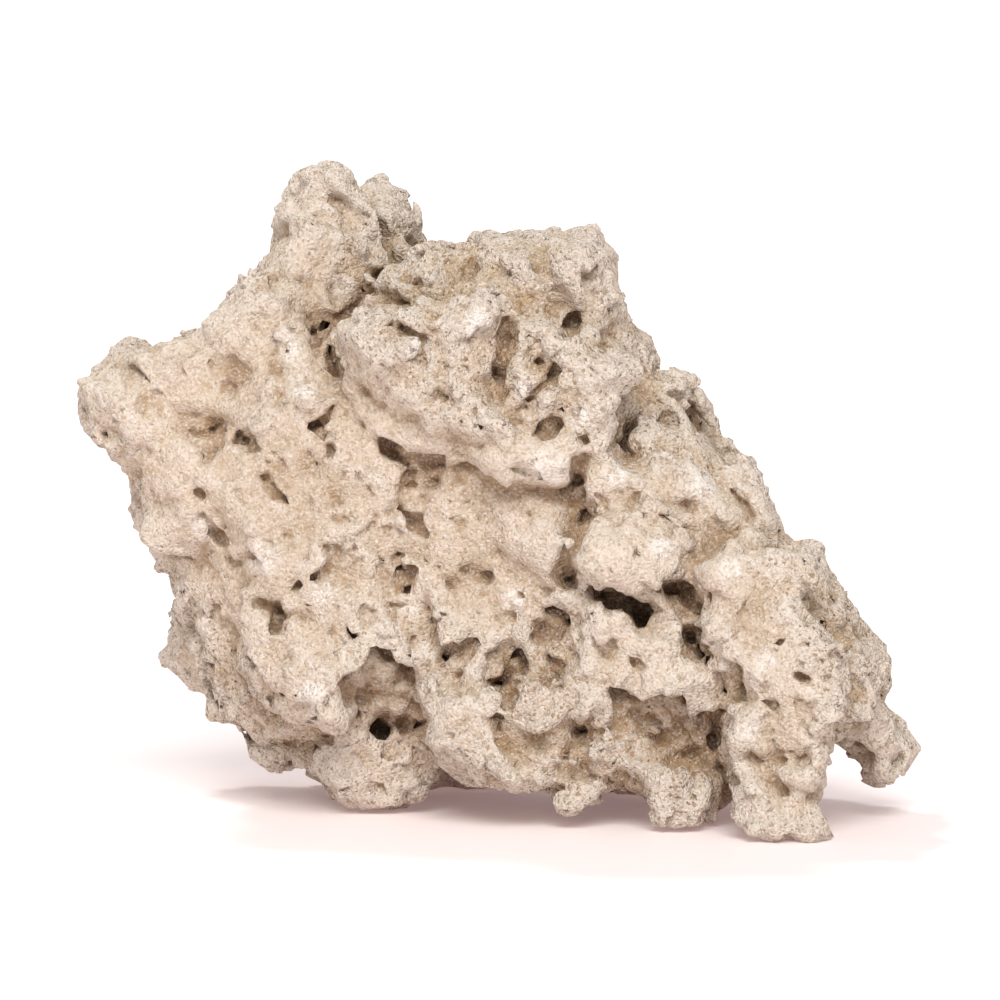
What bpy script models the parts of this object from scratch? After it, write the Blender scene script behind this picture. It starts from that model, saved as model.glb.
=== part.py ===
# Dry reef rock: one piece of old porous reef limestone, standing on the lumps of its underside.
# The rock is built up as a stack of thick slabs whose outlines follow its main forms, with round
# masses behind them, and then hollowed by caves, slots and worn holes. Sizes below are millimetres.

import math
import random
from collections import namedtuple

import bmesh
import bpy
import numpy as np
from mathutils import Euler, Matrix, Vector, noise
from mathutils.bvhtree import BVHTree

MM = 0.001
ROCK_LENGTH = 314.0
ROCK_HEIGHT = 243.0
VOXEL = 2.6
CUTTER_VOXEL = 1.8
FACE_LIMIT = 9500
SHEET = 5.0
WELD = 0.00001
SOFTEN_ROUNDS = 4
NOISE_SEED = 11
BALL_STEPS = 3

# Lumps of the skin: how far apart they are and how high.
LUMP_SPACING = 16.0
LUMP_HEIGHT = 2.4
LUMP_LAYERS = 3

# The slow and quick drifts that take the slabs out of line: the sizes of their swings along the
# rock, how far they push a place forwards or back, and how far sideways at the front. At the back
# the sideways push is stronger, and near the floor the upward push fades away.
SLOW_SWING = 45.0
QUICK_SWING = 22.0
QUICK_START = Vector((300.0, 0.0, 0.0))
SLOW_DEEP = 9.0
QUICK_DEEP = 4.0
SLOW_SIDE = 1.5
QUICK_SIDE = 2.0
BACK_SIDE = 4.0
BACK_FROM = 30.0
BACK_BLEND = 50.0
FLOOR_BLEND = 20.0

# Outlines are drawn on the upright plane y = 0 as (right, up) and spread out from this point,
# which stands a little to the left, well in front of the rock.
SIGHT_POINT = Vector((-208.0, -1800.0, 251.0))

# How far a slab's faces come forward towards the right end, for each millimetre along the rock.
TURN = -0.28

Slab = namedtuple("Slab", "front back rim turn lie outline")

# front and back are depths at the slab's middle, rim is the radius of its rounded border,
# turn and lie are the slopes of its faces along the rock and upwards.
SLABS = {
    "core": Slab(-44, 84, 56, TURN, 0.0, [
        (-100, 40), (-114, 66), (-122, 92), (-130, 114), (-134, 134), (-122, 166), (-92, 188),
        (-60, 192), (-20, 207), (28, 212), (44, 188), (56, 163), (76, 148), (95, 128), (105, 104),
        (120, 94), (130, 76), (141, 58), (142, 44), (130, 30), (118, 22), (95, 18), (60, 14),
        (25, 13), (-5, 18), (-30, 24), (-60, 26), (-84, 30)]),
    "left_wing": Slab(6, 70, 18, -0.15, 0.05, [
        (-158, 151), (-158, 163), (-149, 170), (-140, 178), (-130, 175), (-118, 181),
        (-104, 191), (-96, 203), (-78, 204), (-66, 185), (-70, 150), (-76, 120), (-100, 98),
        (-124, 102), (-129, 108), (-132, 117), (-136, 130), (-141, 135), (-149, 141)]),
    "fin": Slab(12, 56, 13, TURN, 0.15, [
        (-97, 198), (-94, 206), (-87, 214), (-86, 223), (-84, 229), (-77, 234), (-71, 240),
        (-64, 243), (-59, 242), (-56, 235), (-54, 226), (-51, 214), (-48, 198), (-58, 183),
        (-76, 176), (-92, 182)]),
    "second_peak": Slab(24, 64, 12, TURN, 0.1, [
        (-55, 222), (-51, 233), (-45, 236), (-40, 233), (-36, 227), (-33, 219), (-28, 209),
        (-20, 194), (-45, 188), (-57, 200)]),
    "crown": Slab(-42, 70, 22, TURN, 0.3, [
        (-34, 206), (-28, 212), (-20, 211), (-13, 211), (-8, 214), (-7, 219), (7, 220),
        (20, 219), (33, 218), (40, 210), (41, 200), (45, 193), (50, 181), (56, 176), (57, 168),
        (50, 160), (30, 148), (-20, 146), (-48, 168), (-44, 192)]),
    "brow": Slab(-52, 20, 12, -0.12, 0.12, [
        (-62, 181), (-56, 172), (-50, 160), (-44, 152), (-28, 146), (-10, 140), (3, 132),
        (12, 128), (26, 126), (31, 132), (38, 138), (46, 150), (44, 168), (30, 186), (0, 192),
        (-32, 194), (-50, 190)]),
    "smooth_slope": Slab(-42, 20, 6, -0.55, -0.25, [
        (-60, 174), (-59, 158), (-54, 148), (-46, 142), (-37, 138), (-29, 137),
        (-20, 131), (-12, 134), (2, 126), (12, 134), (0, 150), (-40, 168)]),
    "shoulder": Slab(-50, 50, 40, TURN, 0.15, [
        (36, 152), (51, 161), (57, 163), (66, 164), (72, 161), (77, 154), (77, 148), (85, 144),
        (94, 135), (101, 125), (107, 109), (103, 104), (92, 90), (60, 94), (34, 118)]),
    "arm": Slab(-82, 26, 34, TURN, 0.05, [
        (94, 114), (107, 100), (118, 100), (123, 98), (125, 93), (129, 86), (131, 79), (135, 73),
        (141, 64), (145, 57), (146, 50), (147, 38), (136, 27), (118, 20), (94, 22), (82, 40),
        (80, 60), (78, 88)]),
    "knob": Slab(-46, -2, 11, 0.0, 0.0, [
        (132, 52), (143, 48), (149, 40), (152, 35), (156, 30), (158, 25), (155, 18), (154, 12), (147, 10),
        (140, 11), (138, 16), (132, 19), (126, 24), (124, 38)]),
    "plate": Slab(-84, 0, 10, -0.2, 0.1, [
        (74, 99), (72, 90), (78, 80), (74, 70), (81, 58), (89, 50), (91, 42), (87, 32), (92, 22),
        (91, 6), (122, 4), (130, 30), (137, 50), (126, 80), (112, 98), (90, 106)]),
    "dome": Slab(-66, 0, 12, TURN, 0.40, [
        (28, 97), (33, 110), (44, 121), (58, 122), (70, 112), (75, 98), (68, 89), (58, 86),
        (48, 85), (40, 88), (33, 90)]),
    "centre_block": Slab(-64, 0, 9, -0.2, 0.1, [
        (30, 76), (42, 77), (50, 71), (58, 68), (70, 71), (77, 60), (85, 50), (86, 42), (78, 37),
        (72, 37), (68, 45), (62, 42), (56, 39), (50, 43), (43, 46), (38, 38), (30, 33), (17, 29),
        (9, 33), (9, 45), (20, 52), (28, 60)]),
    "pillar": Slab(-44, 20, 7, -0.2, 0.1, [
        (-30, 86), (-22, 62), (-30, 54), (-27, 40), (-23, 25), (-13, 20), (-4, 15), (5, 13),
        (0, 28), (-4, 45), (-2, 60), (9, 66), (12, 82), (0, 94)]),
    "lobe": Slab(-24, 50, 8, -0.1, 0.3, [
        (-100, 84), (-84, 96), (-62, 88), (-52, 64), (-53, 53), (-58, 46), (-53, 38), (-56, 31),
        (-68, 29), (-78, 34), (-86, 39), (-92, 48), (-98, 60)]),
    "shelf": Slab(26, 80, 14, -0.1, 0.0, [
        (-95, 36), (-105, 40), (-107, 46), (-111, 51), (-114, 61), (-116, 68), (-111, 71),
        (-109, 74), (-112, 78), (-119, 78), (-110, 96), (-70, 90), (-60, 40), (-69, 22),
        (-84, 23), (-91, 27)]),
    "foot_right": Slab(-89, -36, 9, 0.0, 0.25, [
        (90, 44), (90, 10), (92, -5), (99, -11), (106, -12), (114, -16), (124, -15), (125, -8),
        (122, 2), (125, 14), (130, 34), (110, 54)]),
    "foot_middle": Slab(-63, -16, 8, 0.0, 0.3, [
        (54, 24), (56, 8), (59, 4), (60, -4), (66, -10), (76, -10), (80, -3), (83, 1), (88, 12),
        (86, 26), (70, 34)]),
    "foot_left": Slab(-6, 50, 9, 0.0, 0.0, [
        (-70, 34), (-69, 17), (-67, 12), (-63, 6), (-55, -4), (-40, -4), (-29, 5), (-24, 11),
        (-19, 17), (-21, 32), (-40, 42), (-60, 44)]),
    "skirt": Slab(-51, 30, 4, -0.15, -0.4, [
        (-28, 26), (-20, 20), (-8, 17), (4, 14), (14, 12), (26, 10), (38, 11), (48, 11), (56, 5),
        (64, -2), (80, -3), (88, 4), (92, 24), (90, 40), (72, 46), (40, 50), (8, 50), (-22, 44)]),
    "spur": Slab(-46, -14, 5, 0.0, 0.2, [
        (20, 20), (24, 10), (20, 4), (23, 1), (30, 3), (41, 8), (52, 13), (54, 22)]),
}

Mass = namedtuple("Mass", "x y z along deep high tilt")

# The round masses of the back, the last three of which are feet.
MASSES = [
    Mass(-60, 84, 104, 46, 34, 52, 15),
    Mass(10, 70, 120, 50, 32, 46, 0),
    Mass(70, 44, 84, 42, 34, 46, 20),
    Mass(-88, 92, 60, 30, 26, 28, 0),
    Mass(12, 84, 62, 42, 28, 34, 0),
    Mass(-112, 66, 118, 24, 24, 30, 0),
    Mass(20, 60, 176, 26, 22, 24, 0),
    Mass(64, 52, 26, 26, 28, 32, 0),
    Mass(-8, 76, 20, 24, 24, 28, 0),
    Mass(-44, 84, 26, 22, 22, 32, 0),
]

Hole = namedtuple("Hole", "deep right up mouth")

# Holes of the front: the depth, how far the bottom lies to the right of the mouth and above it,
# and the outline of the mouth.
HOLES = {
    "left_cave": Hole(9, -2, 4, [
        (-61, 71), (-49, 66), (-44, 61), (-38, 57), (-31, 54), (-32, 47), (-28, 42), (-25, 31),
        (-27, 23), (-34, 25), (-42, 26), (-52, 29), (-55, 37), (-58, 47), (-54, 55)]),
    "left_cave_roof": Hole(20, 0, 9, [
        (-60, 71), (-52, 67), (-44, 62), (-39, 57), (-32, 54), (-34, 49), (-46, 56), (-53, 62)]),
    "left_cave_hole": Hole(36, 0, 0, [(-52, 36), (-46, 38), (-41, 33), (-43, 27), (-49, 26)]),
    "left_cave_pocket": Hole(22, -8, 2, [(-60, 50), (-56, 55), (-50, 51), (-50, 43), (-57, 41)]),
    "pillar_hollow": Hole(7, 0, 1, [
        (-21, 60), (-19, 65), (-12, 68), (-7, 68), (-6, 64), (-9, 59), (-14, 54), (-17, 46)]),
    "centre_cave": Hole(10, 0, 2, [
        (1, 59), (4, 62), (8, 61), (12, 57), (12, 52), (8, 49), (9, 44), (6, 37), (1, 38),
        (-3, 42), (-3, 47), (1, 50)]),
    "centre_cave_hole": Hole(24, -5, 7, [(-3, 47), (1, 50), (4, 47), (8, 44), (7, 39), (0, 39)]),
    "under_ledge": Hole(7, 0, 2, [
        (-1, 38), (5, 34), (9, 31), (14, 29), (20, 32), (33, 33), (31, 25), (22, 19), (8, 20),
        (-1, 26)]),
    "middle_cave": Hole(18, 0, 5, [
        (16, 83), (19, 80), (22, 79), (25, 75), (28, 72), (28, 60), (24, 62), (20, 63), (13, 64),
        (12, 69), (14, 75)]),
    "left_eye": Hole(24, 3, 3, [
        (34, 84), (39, 88), (44, 85), (47, 83), (49, 79), (45, 75), (40, 76), (35, 80)]),
    "middle_eye": Hole(24, 0, 3, [(50, 77), (53, 80), (58, 80), (61, 75), (56, 68), (51, 70)]),
    "right_eye": Hole(13, 1, 3, [
        (60, 88), (65, 90), (70, 89), (75, 85), (76, 79), (74, 73), (70, 75), (67, 80), (62, 83)]),
    "foot_hollow": Hole(12, 0, 4, [
        (43, 46), (50, 43), (54, 39), (60, 42), (66, 43), (70, 41), (73, 36), (78, 38), (85, 39),
        (90, 35), (89, 30), (85, 25), (88, 18), (89, 10), (82, 12), (74, 15), (62, 15), (52, 21),
        (44, 31), (42, 39)]),
    "foot_nook": Hole(17, 2, 3, [(76, 38), (85, 39), (90, 35), (89, 28), (84, 22), (78, 30)]),
    "foot_gap": Hole(22, 4, 0, [(79, 31), (84, 32), (89, 19), (91, 10), (87, 9), (83, 19)]),
    "brow_cave": Hole(8, 0, 2, [
        (-46, 142), (-40, 139), (-32, 138), (-27, 134), (-21, 135), (-20, 131), (-23, 126),
        (-21, 118), (-28, 107), (-33, 112), (-40, 121), (-37, 126), (-34, 131), (-41, 134)]),
    "brow_slot": Hole(20, 0, 6, [
        (-46, 142), (-40, 139), (-32, 138), (-27, 134), (-21, 135), (-23, 128), (-32, 133),
        (-41, 134)]),
    "neck_hole": Hole(20, 2, 0, [
        (-69, 177), (-66, 186), (-62, 181), (-60, 172), (-58, 168), (-60, 163), (-65, 165)]),
    "under_brow": Hole(8, 2, 1, [
        (2, 128), (10, 127), (20, 125), (30, 127), (35, 122), (34, 112), (29, 102), (23, 106),
        (14, 113)]),
    "ledge_crack": Hole(24, 2, 0, [
        (31, 119), (36, 118), (34, 108), (30, 98), (27, 92), (28, 85), (24, 86), (22, 93),
        (27, 102)]),
    "plate_crack": Hole(20, 8, 2, [(68, 68), (72, 69), (79, 58), (88, 51), (84, 49), (75, 56)]),
    "crown_window": Hole(10, 0, 2, [(20, 182), (23, 187), (28, 189), (32, 186), (28, 181), (23, 178)]),
    "crown_pit": Hole(9, 0, 1, [(10, 170), (13, 175), (16, 178), (19, 175), (19, 171), (15, 168)]),
    "crown_groove": Hole(7, 0, 0, [(-2, 187), (3, 190), (8, 186), (5, 176), (4, 164), (-3, 164)]),
    "brow_window": Hole(9, 0, 1, [(11, 143), (13, 148), (17, 150), (22, 148), (20, 143), (16, 141)]),
    "wing_hole": Hole(8, 0, 2, [(-119, 145), (-117, 149), (-104, 150), (-107, 143), (-112, 140)]),
    "wing_crack": Hole(11, 0, 2, [(-91, 130), (-86, 128), (-79, 119), (-82, 116), (-90, 123)]),
    "side_crack": Hole(11, 0, 2, [
        (-70, 93), (-69, 89), (-80, 82), (-83, 71), (-88, 71), (-87, 79), (-84, 86)]),
    "under_knob": Hole(12, 0, 3, [
        (121, 30), (128, 27), (135, 25), (142, 21), (141, 15), (133, 16), (125, 19)]),
    "shoulder_hole": Hole(11, 0, 1, [(67, 150), (72, 149), (74, 142), (70, 138), (67, 144)]),
    "peak_crack": Hole(9, 0, 1, [(-49, 200), (-43, 197), (-34, 194), (-35, 190), (-44, 192)]),
}

Cave = namedtuple("Cave", "x y z along deep high tilt")

# Caves of the back, the ends and the underside, each turned by its tilt in degrees.
HIDDEN_CAVES = [
    Cave(-38, 122, 96, 20, 22, 13, (20, 15, 30)),
    Cave(-52, 118, 88, 12, 18, 9, (0, 40, 0)),
    Cave(-88, 112, 120, 11, 18, 18, (10, 20, 0)),
    Cave(22, 106, 128, 18, 20, 10, (-15, -20, 0)),
    Cave(8, 108, 120, 9, 16, 8, (0, 50, 0)),
    Cave(36, 100, 64, 20, 20, 12, (20, 25, 0)),
    Cave(50, 98, 74, 9, 14, 9, (0, 0, 0)),
    Cave(-20, 108, 44, 14, 17, 9, (0, -25, 0)),
    Cave(84, 82, 86, 12, 18, 17, (0, 20, 20)),
    Cave(4, 92, 168, 12, 18, 11, (0, 15, 0)),
    Cave(-70, 84, 158, 13, 16, 11, (0, -30, 0)),
    Cave(134, 2, 62, 16, 9, 9, (0, 0, 30)),
    Cave(-124, 92, 100, 13, 12, 10, (0, 30, 0)),
    Cave(20, 24, 10, 40, 22, 12, (0, 0, 0)),
    Cave(-30, 50, 8, 14, 12, 10, (0, 0, 0)),
]

# How far a hole's cutter stands out in front of the surface.
HOLE_LEAD = 12.0

# Worn pits that are scattered over the top, the back, the ends and the underside.
PIT_COUNT = 60
PIT_RADII = (3.5, 8.0)
PIT_WIDTH = (0.8, 1.5)
PIT_LENGTH = (0.6, 1.0)
PIT_SEED = 7
PIT_APART = 17.0


def sight(right, up, depth):
    """The place at this depth that shows at (right, up) on the plane y = 0, in millimetres."""
    spread = (depth - SIGHT_POINT.y) / -SIGHT_POINT.y
    x = SIGHT_POINT.x + (right - SIGHT_POINT.x) * spread
    z = SIGHT_POINT.z + (up - SIGHT_POINT.z) * spread
    return Vector((x, depth, z))


def wander(place):
    """The slow uneven drift that takes the slabs out of line, in millimetres."""
    slow = noise.noise_vector(place / SLOW_SWING)
    quick = noise.noise_vector((place + QUICK_START) / QUICK_SWING)
    back = min(1.0, max(0.0, (place.y - BACK_FROM) / BACK_BLEND))
    above_floor = min(1.0, max(0.0, place.z / FLOOR_BLEND))
    sideways = SLOW_SIDE + BACK_SIDE * back
    return Vector((
        slow.x * sideways + quick.x * QUICK_SIDE,
        slow.y * SLOW_DEEP + quick.y * QUICK_DEEP,
        (slow.z * sideways + quick.z * QUICK_SIDE) * above_floor,
    ))


def border_distance(points, outline):
    """How far each (right, up) point is from the outline's nearest edge."""
    nearest = np.full(len(points), np.inf)
    for start, end in zip(outline, outline[1:] + outline[:1]):
        along = np.subtract(end, start)
        reach = np.clip((points - start) @ along / (along @ along), 0, 1)
        foot = start + reach[:, None] * along
        nearest = np.minimum(nearest, np.linalg.norm(points - foot, axis=1))
    return nearest


def object_from(name, mesh, collection):
    made = bpy.data.objects.new(name, mesh)
    collection.objects.link(made)
    return made


def evaluated_mesh(source):
    graph = bpy.context.evaluated_depsgraph_get()
    return bpy.data.meshes.new_from_object(source.evaluated_get(graph))


def apply_modifiers(target):
    """Puts the mesh that the modifiers make in place of the object's own."""
    mesh = evaluated_mesh(target)
    old = target.data
    target.modifiers.clear()
    target.data = mesh
    bpy.data.meshes.remove(old)


def remesh(target, voxel):
    """Joins everything that overlaps into one even skin."""
    modifier = target.modifiers.new("even skin", "REMESH")
    modifier.mode = "VOXEL"
    modifier.voxel_size = voxel * MM
    apply_modifiers(target)


def flat_sheet(name, outline, collection):
    """A thin sheet of the outline's shape, as a filled curve and then a mesh."""
    curve = bpy.data.curves.new(name, "CURVE")
    curve.dimensions = "2D"
    curve.fill_mode = "BOTH"
    curve.extrude = SHEET * MM
    spline = curve.splines.new("POLY")
    spline.points.add(len(outline) - 1)
    for point, (right, up) in zip(spline.points, outline):
        point.co = (right * MM, up * MM, 0, 1)
    spline.use_cyclic_u = True
    guide = object_from(name + "_outline", curve, collection)
    sheet = object_from(name, evaluated_mesh(guide), collection)
    bpy.data.objects.remove(guide)
    welded = bmesh.new()
    welded.from_mesh(sheet.data)
    bmesh.ops.remove_doubles(welded, verts=welded.verts, dist=WELD)
    bmesh.ops.recalc_face_normals(welded, faces=welded.faces)
    welded.to_mesh(sheet.data)
    welded.free()
    return sheet


def make_slab(name, slab, collection):
    """Blows the sheet up to the slab's depth, rounds its border and spreads it from SIGHT_POINT."""
    sheet = flat_sheet(name, slab.outline, collection)
    remesh(sheet, VOXEL)
    points = np.empty(len(sheet.data.vertices) * 3)
    sheet.data.vertices.foreach_get("co", points)
    points = points.reshape(-1, 3) / MM
    half = (slab.back - slab.front) / 2
    inward = np.minimum(border_distance(points[:, :2], slab.outline), slab.rim)
    thick = half - slab.rim + np.sqrt(slab.rim**2 - (slab.rim - inward) ** 2)
    centre = np.mean(slab.outline, axis=0)
    middle = (slab.front + slab.back) / 2
    middle = middle + slab.turn * (points[:, 0] - centre[0]) + slab.lie * (points[:, 1] - centre[1])
    depth = middle - points[:, 2] / SHEET * thick
    for vertex, (right, up, _), y in zip(sheet.data.vertices, points, depth):
        vertex.co = sight(right, up, y) * MM
    return sheet


def ball(mesh, middle, sizes, turn):
    """Adds an ellipsoid to the bmesh, with half sizes along x, y and z before its turn."""
    place = Matrix.Translation(Vector(middle) * MM) @ turn.to_matrix().to_4x4()
    place = place @ Matrix.Diagonal((*(Vector(sizes) * MM), 1))
    bmesh.ops.create_icosphere(mesh, subdivisions=BALL_STEPS, radius=1, matrix=place)


def make_masses(collection):
    balls = bmesh.new()
    for mass in MASSES:
        turn = Euler((0, math.radians(mass.tilt), 0))
        ball(balls, (mass.x, mass.y, mass.z), (mass.along, mass.deep, mass.high), turn)
    mesh = bpy.data.meshes.new("masses")
    balls.to_mesh(mesh)
    balls.free()
    return object_from("masses", mesh, collection)


def joined(name, pieces, collection):
    """One object that holds the faces of them all."""
    whole = bmesh.new()
    for piece in pieces:
        whole.from_mesh(piece.data)
        bpy.data.objects.remove(piece)
    mesh = bpy.data.meshes.new(name)
    whole.to_mesh(mesh)
    whole.free()
    return object_from(name, mesh, collection)


def move_by_wander(target):
    """Moves each point so that wander brings it back to where it was drawn."""
    for vertex in target.data.vertices:
        drawn = vertex.co / MM
        moved = drawn - wander(drawn)
        vertex.co = (drawn - wander(moved)) * MM


def first_touch(tree, right, up):
    """The depth at which a line from SIGHT_POINT first meets the surface, or None."""
    line = (sight(right, up, 0) - SIGHT_POINT).normalized()
    place = tree.ray_cast(SIGHT_POINT * MM, line)[0]
    return None if place is None else place.y / MM


def make_hole(name, hole, tree, collection):
    """Stretches the mouth's sheet from in front of the surface to the hole's bottom."""
    sheet = flat_sheet(name, hole.mouth, collection)
    centre = np.mean(hole.mouth, axis=0)
    usual = first_touch(tree, *centre)
    for vertex in sheet.data.vertices:
        right, up, side = vertex.co / MM
        touch = first_touch(tree, right, up) or usual
        touch = min(max(touch, usual - hole.deep), usual + hole.deep)
        if side > 0:
            vertex.co = sight(right, up, touch - HOLE_LEAD) * MM
        else:
            vertex.co = sight(right + hole.right, up + hole.up, touch + hole.deep) * MM
    return sheet


def make_hidden_caves(collection):
    hollows = bmesh.new()
    for cave in HIDDEN_CAVES:
        turn = Euler([math.radians(angle) for angle in cave.tilt])
        ball(hollows, (cave.x, cave.y, cave.z), (cave.along, cave.deep, cave.high), turn)
    mesh = bpy.data.meshes.new("hidden_caves")
    hollows.to_mesh(mesh)
    hollows.free()
    return object_from("hidden_caves", mesh, collection)


def make_worn_pits(rock, collection):
    """Round hollows in the skin where no outline is drawn, no two of them too close together."""
    chance = random.Random(PIT_SEED)
    skin = [vertex for vertex in rock.data.vertices if vertex.normal.y > 0 and vertex.co.z > 0]
    pits = bmesh.new()
    places = []
    while len(places) < PIT_COUNT:
        spot = chance.choice(skin)
        place = spot.co / MM
        radius = chance.uniform(*PIT_RADII)
        turn = spot.normal.to_track_quat("Z", "Y").to_euler()
        if all((place - other).length > PIT_APART for other in places):
            places.append(place)
            width = radius * chance.uniform(*PIT_WIDTH)
            length = radius * chance.uniform(*PIT_LENGTH)
            ball(pits, place, (width, length, radius), turn)
    mesh = bpy.data.meshes.new("worn_pits")
    pits.to_mesh(mesh)
    pits.free()
    return object_from("worn_pits", mesh, collection)


def make_cave_cutter(rock, collection):
    tree = BVHTree.FromObject(rock, bpy.context.evaluated_depsgraph_get())
    pieces = [make_hole(name, hole, tree, collection) for name, hole in HOLES.items()]
    pieces.append(make_hidden_caves(collection))
    pieces.append(make_worn_pits(rock, collection))
    cutter = joined("caves", pieces, collection)
    mend_normals(cutter)
    remesh(cutter, CUTTER_VOXEL)
    return cutter


def mend_normals(target):
    skin = bmesh.new()
    skin.from_mesh(target.data)
    bmesh.ops.recalc_face_normals(skin, faces=skin.faces)
    skin.to_mesh(target.data)
    skin.free()


def make_floor_cutter(collection):
    """A block under the plane z = 0, which cuts the feet off flat."""
    block = bmesh.new()
    size = Matrix.Diagonal((2 * ROCK_LENGTH * MM, 2 * ROCK_LENGTH * MM, ROCK_HEIGHT * MM, 1))
    bmesh.ops.create_cube(block, matrix=Matrix.Translation((0, 0, -ROCK_HEIGHT / 2 * MM)) @ size)
    mesh = bpy.data.meshes.new("floor_block")
    block.to_mesh(mesh)
    block.free()
    return object_from("floor_block", mesh, collection)


def cut(target, cutter):
    modifier = target.modifiers.new(cutter.name, "BOOLEAN")
    modifier.operation = "DIFFERENCE"
    modifier.object = cutter
    apply_modifiers(target)


def soften(target, rounds):
    modifier = target.modifiers.new("soften", "SMOOTH")
    modifier.iterations = rounds
    apply_modifiers(target)


def roughen(target):
    """Breaks the even skin into the rock's lumps and worn hollows."""
    moved = []
    for vertex in target.data.vertices:
        lumps = noise.fractal(vertex.co / MM / LUMP_SPACING, 1.0, 2.0, LUMP_LAYERS)
        moved.append(vertex.co + vertex.normal * lumps * LUMP_HEIGHT * MM)
    for vertex, place in zip(target.data.vertices, moved):
        vertex.co = place


def keep_largest_piece(target):
    """Deletes loose bits that the cuts left behind."""
    skin = bmesh.new()
    skin.from_mesh(target.data)
    unseen = set(skin.verts)
    pieces = []
    while unseen:
        front = [unseen.pop()]
        piece = list(front)
        while front:
            vertex = front.pop()
            near = {edge.other_vert(vertex) for edge in vertex.link_edges} & unseen
            unseen -= near
            front.extend(near)
            piece.extend(near)
        pieces.append(piece)
    pieces.sort(key=len)
    loose = [vertex for piece in pieces[:-1] for vertex in piece]
    bmesh.ops.delete(skin, geom=loose, context="VERTS")
    skin.to_mesh(target.data)
    skin.free()


def thin_out(target, faces):
    """Leaves this many triangles, most of them where the rock is roughest."""
    triangles = target.modifiers.new("triangles", "TRIANGULATE")
    triangles.quad_method = "SHORTEST_DIAGONAL"
    apply_modifiers(target)
    modifier = target.modifiers.new("fewer faces", "DECIMATE")
    modifier.ratio = faces / len(target.data.polygons)
    modifier.use_collapse_triangulate = True
    apply_modifiers(target)


def rest_on_origin(target):
    """Moves the rock so that the origin is under the middle of its box, on the floor."""
    corners = np.array([vertex.co for vertex in target.data.vertices])
    middle = (corners.min(axis=0) + corners.max(axis=0)) / 2
    target.data.transform(Matrix.Translation((-middle[0], -middle[1], 0)))
    print("moved by", -middle[:2], "box", corners.max(axis=0) - corners.min(axis=0))


def stone_material():
    material = bpy.data.materials.new("reef limestone")
    material.use_nodes = True
    shader = material.node_tree.nodes["Principled BSDF"]
    shader.inputs["Base Color"].default_value = (0.62, 0.52, 0.40, 1)
    shader.inputs["Roughness"].default_value = 0.92
    shader.inputs["Metallic"].default_value = 0.0
    return material


def new_collection(name):
    collection = bpy.data.collections.new(name)
    bpy.context.scene.collection.children.link(collection)
    return collection


def make_rock():
    noise.seed_set(NOISE_SEED)
    rock_collection = new_collection("reef_rock")
    cutters = new_collection("cutters")
    pieces = [make_slab(name, slab, rock_collection) for name, slab in SLABS.items()]
    pieces.append(make_masses(rock_collection))
    rock = joined("reef_rock", pieces, rock_collection)
    remesh(rock, VOXEL)
    soften(rock, SOFTEN_ROUNDS)
    move_by_wander(rock)
    caves = make_cave_cutter(rock, cutters)
    cut(rock, caves)
    remesh(rock, VOXEL)
    roughen(rock)
    keep_largest_piece(rock)
    thin_out(rock, FACE_LIMIT)
    floor = make_floor_cutter(cutters)
    cut(rock, floor)
    rest_on_origin(rock)
    rock.data.materials.clear()
    rock.data.materials.append(stone_material())
    for cutter in (caves, floor):
        cutter.hide_render = True
        cutter.display_type = "WIRE"
    return rock


for leftover in list(bpy.data.objects):
    bpy.data.objects.remove(leftover)
rock = make_rock()
print("triangles", len(rock.data.polygons))
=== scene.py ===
import math
import time

import bmesh
import bpy
import numpy as np
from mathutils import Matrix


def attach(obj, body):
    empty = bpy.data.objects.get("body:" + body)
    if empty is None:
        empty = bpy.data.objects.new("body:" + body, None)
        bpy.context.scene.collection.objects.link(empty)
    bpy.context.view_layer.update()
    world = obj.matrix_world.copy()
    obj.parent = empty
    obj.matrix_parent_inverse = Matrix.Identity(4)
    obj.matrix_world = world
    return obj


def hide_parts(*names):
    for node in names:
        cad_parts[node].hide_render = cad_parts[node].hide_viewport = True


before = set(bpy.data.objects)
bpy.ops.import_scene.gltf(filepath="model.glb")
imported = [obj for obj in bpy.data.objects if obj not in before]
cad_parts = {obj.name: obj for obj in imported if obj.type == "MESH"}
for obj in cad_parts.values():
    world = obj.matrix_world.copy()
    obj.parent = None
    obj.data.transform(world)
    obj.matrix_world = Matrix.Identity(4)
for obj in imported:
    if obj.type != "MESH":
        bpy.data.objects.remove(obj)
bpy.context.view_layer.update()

import openvdb
from mathutils import Euler, Vector, noise

startTime = time.perf_counter()


def report(*words):
    print(f"{time.perf_counter() - startTime:6.1f} s", *words)


# The rock is drawn in millimetres, as seen from the eye: right and up on the upright plane y = 0.
drawing = {
    "eye": (-208.0, -1800.0, 251.0),
    "shift": (1.358, -13.575, 0.0),       # from the drawing to the frame
    "step": 0.8,                          # edge of a cell
    "low": (-176.0, -114.0, -5.0),
    "high": (170.0, 130.0, 252.0),
    "driftSeed": 11,
    "firstFaces": 300000,                 # after the whole skin is thinned
    "faces": 196000,                      # after its hidden sides are thinned again
}
eye = np.array(drawing["eye"])
low = np.array(drawing["low"])
high = np.array(drawing["high"])
step = drawing["step"]
turn = -0.28                              # how a slab comes forward towards the right

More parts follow.
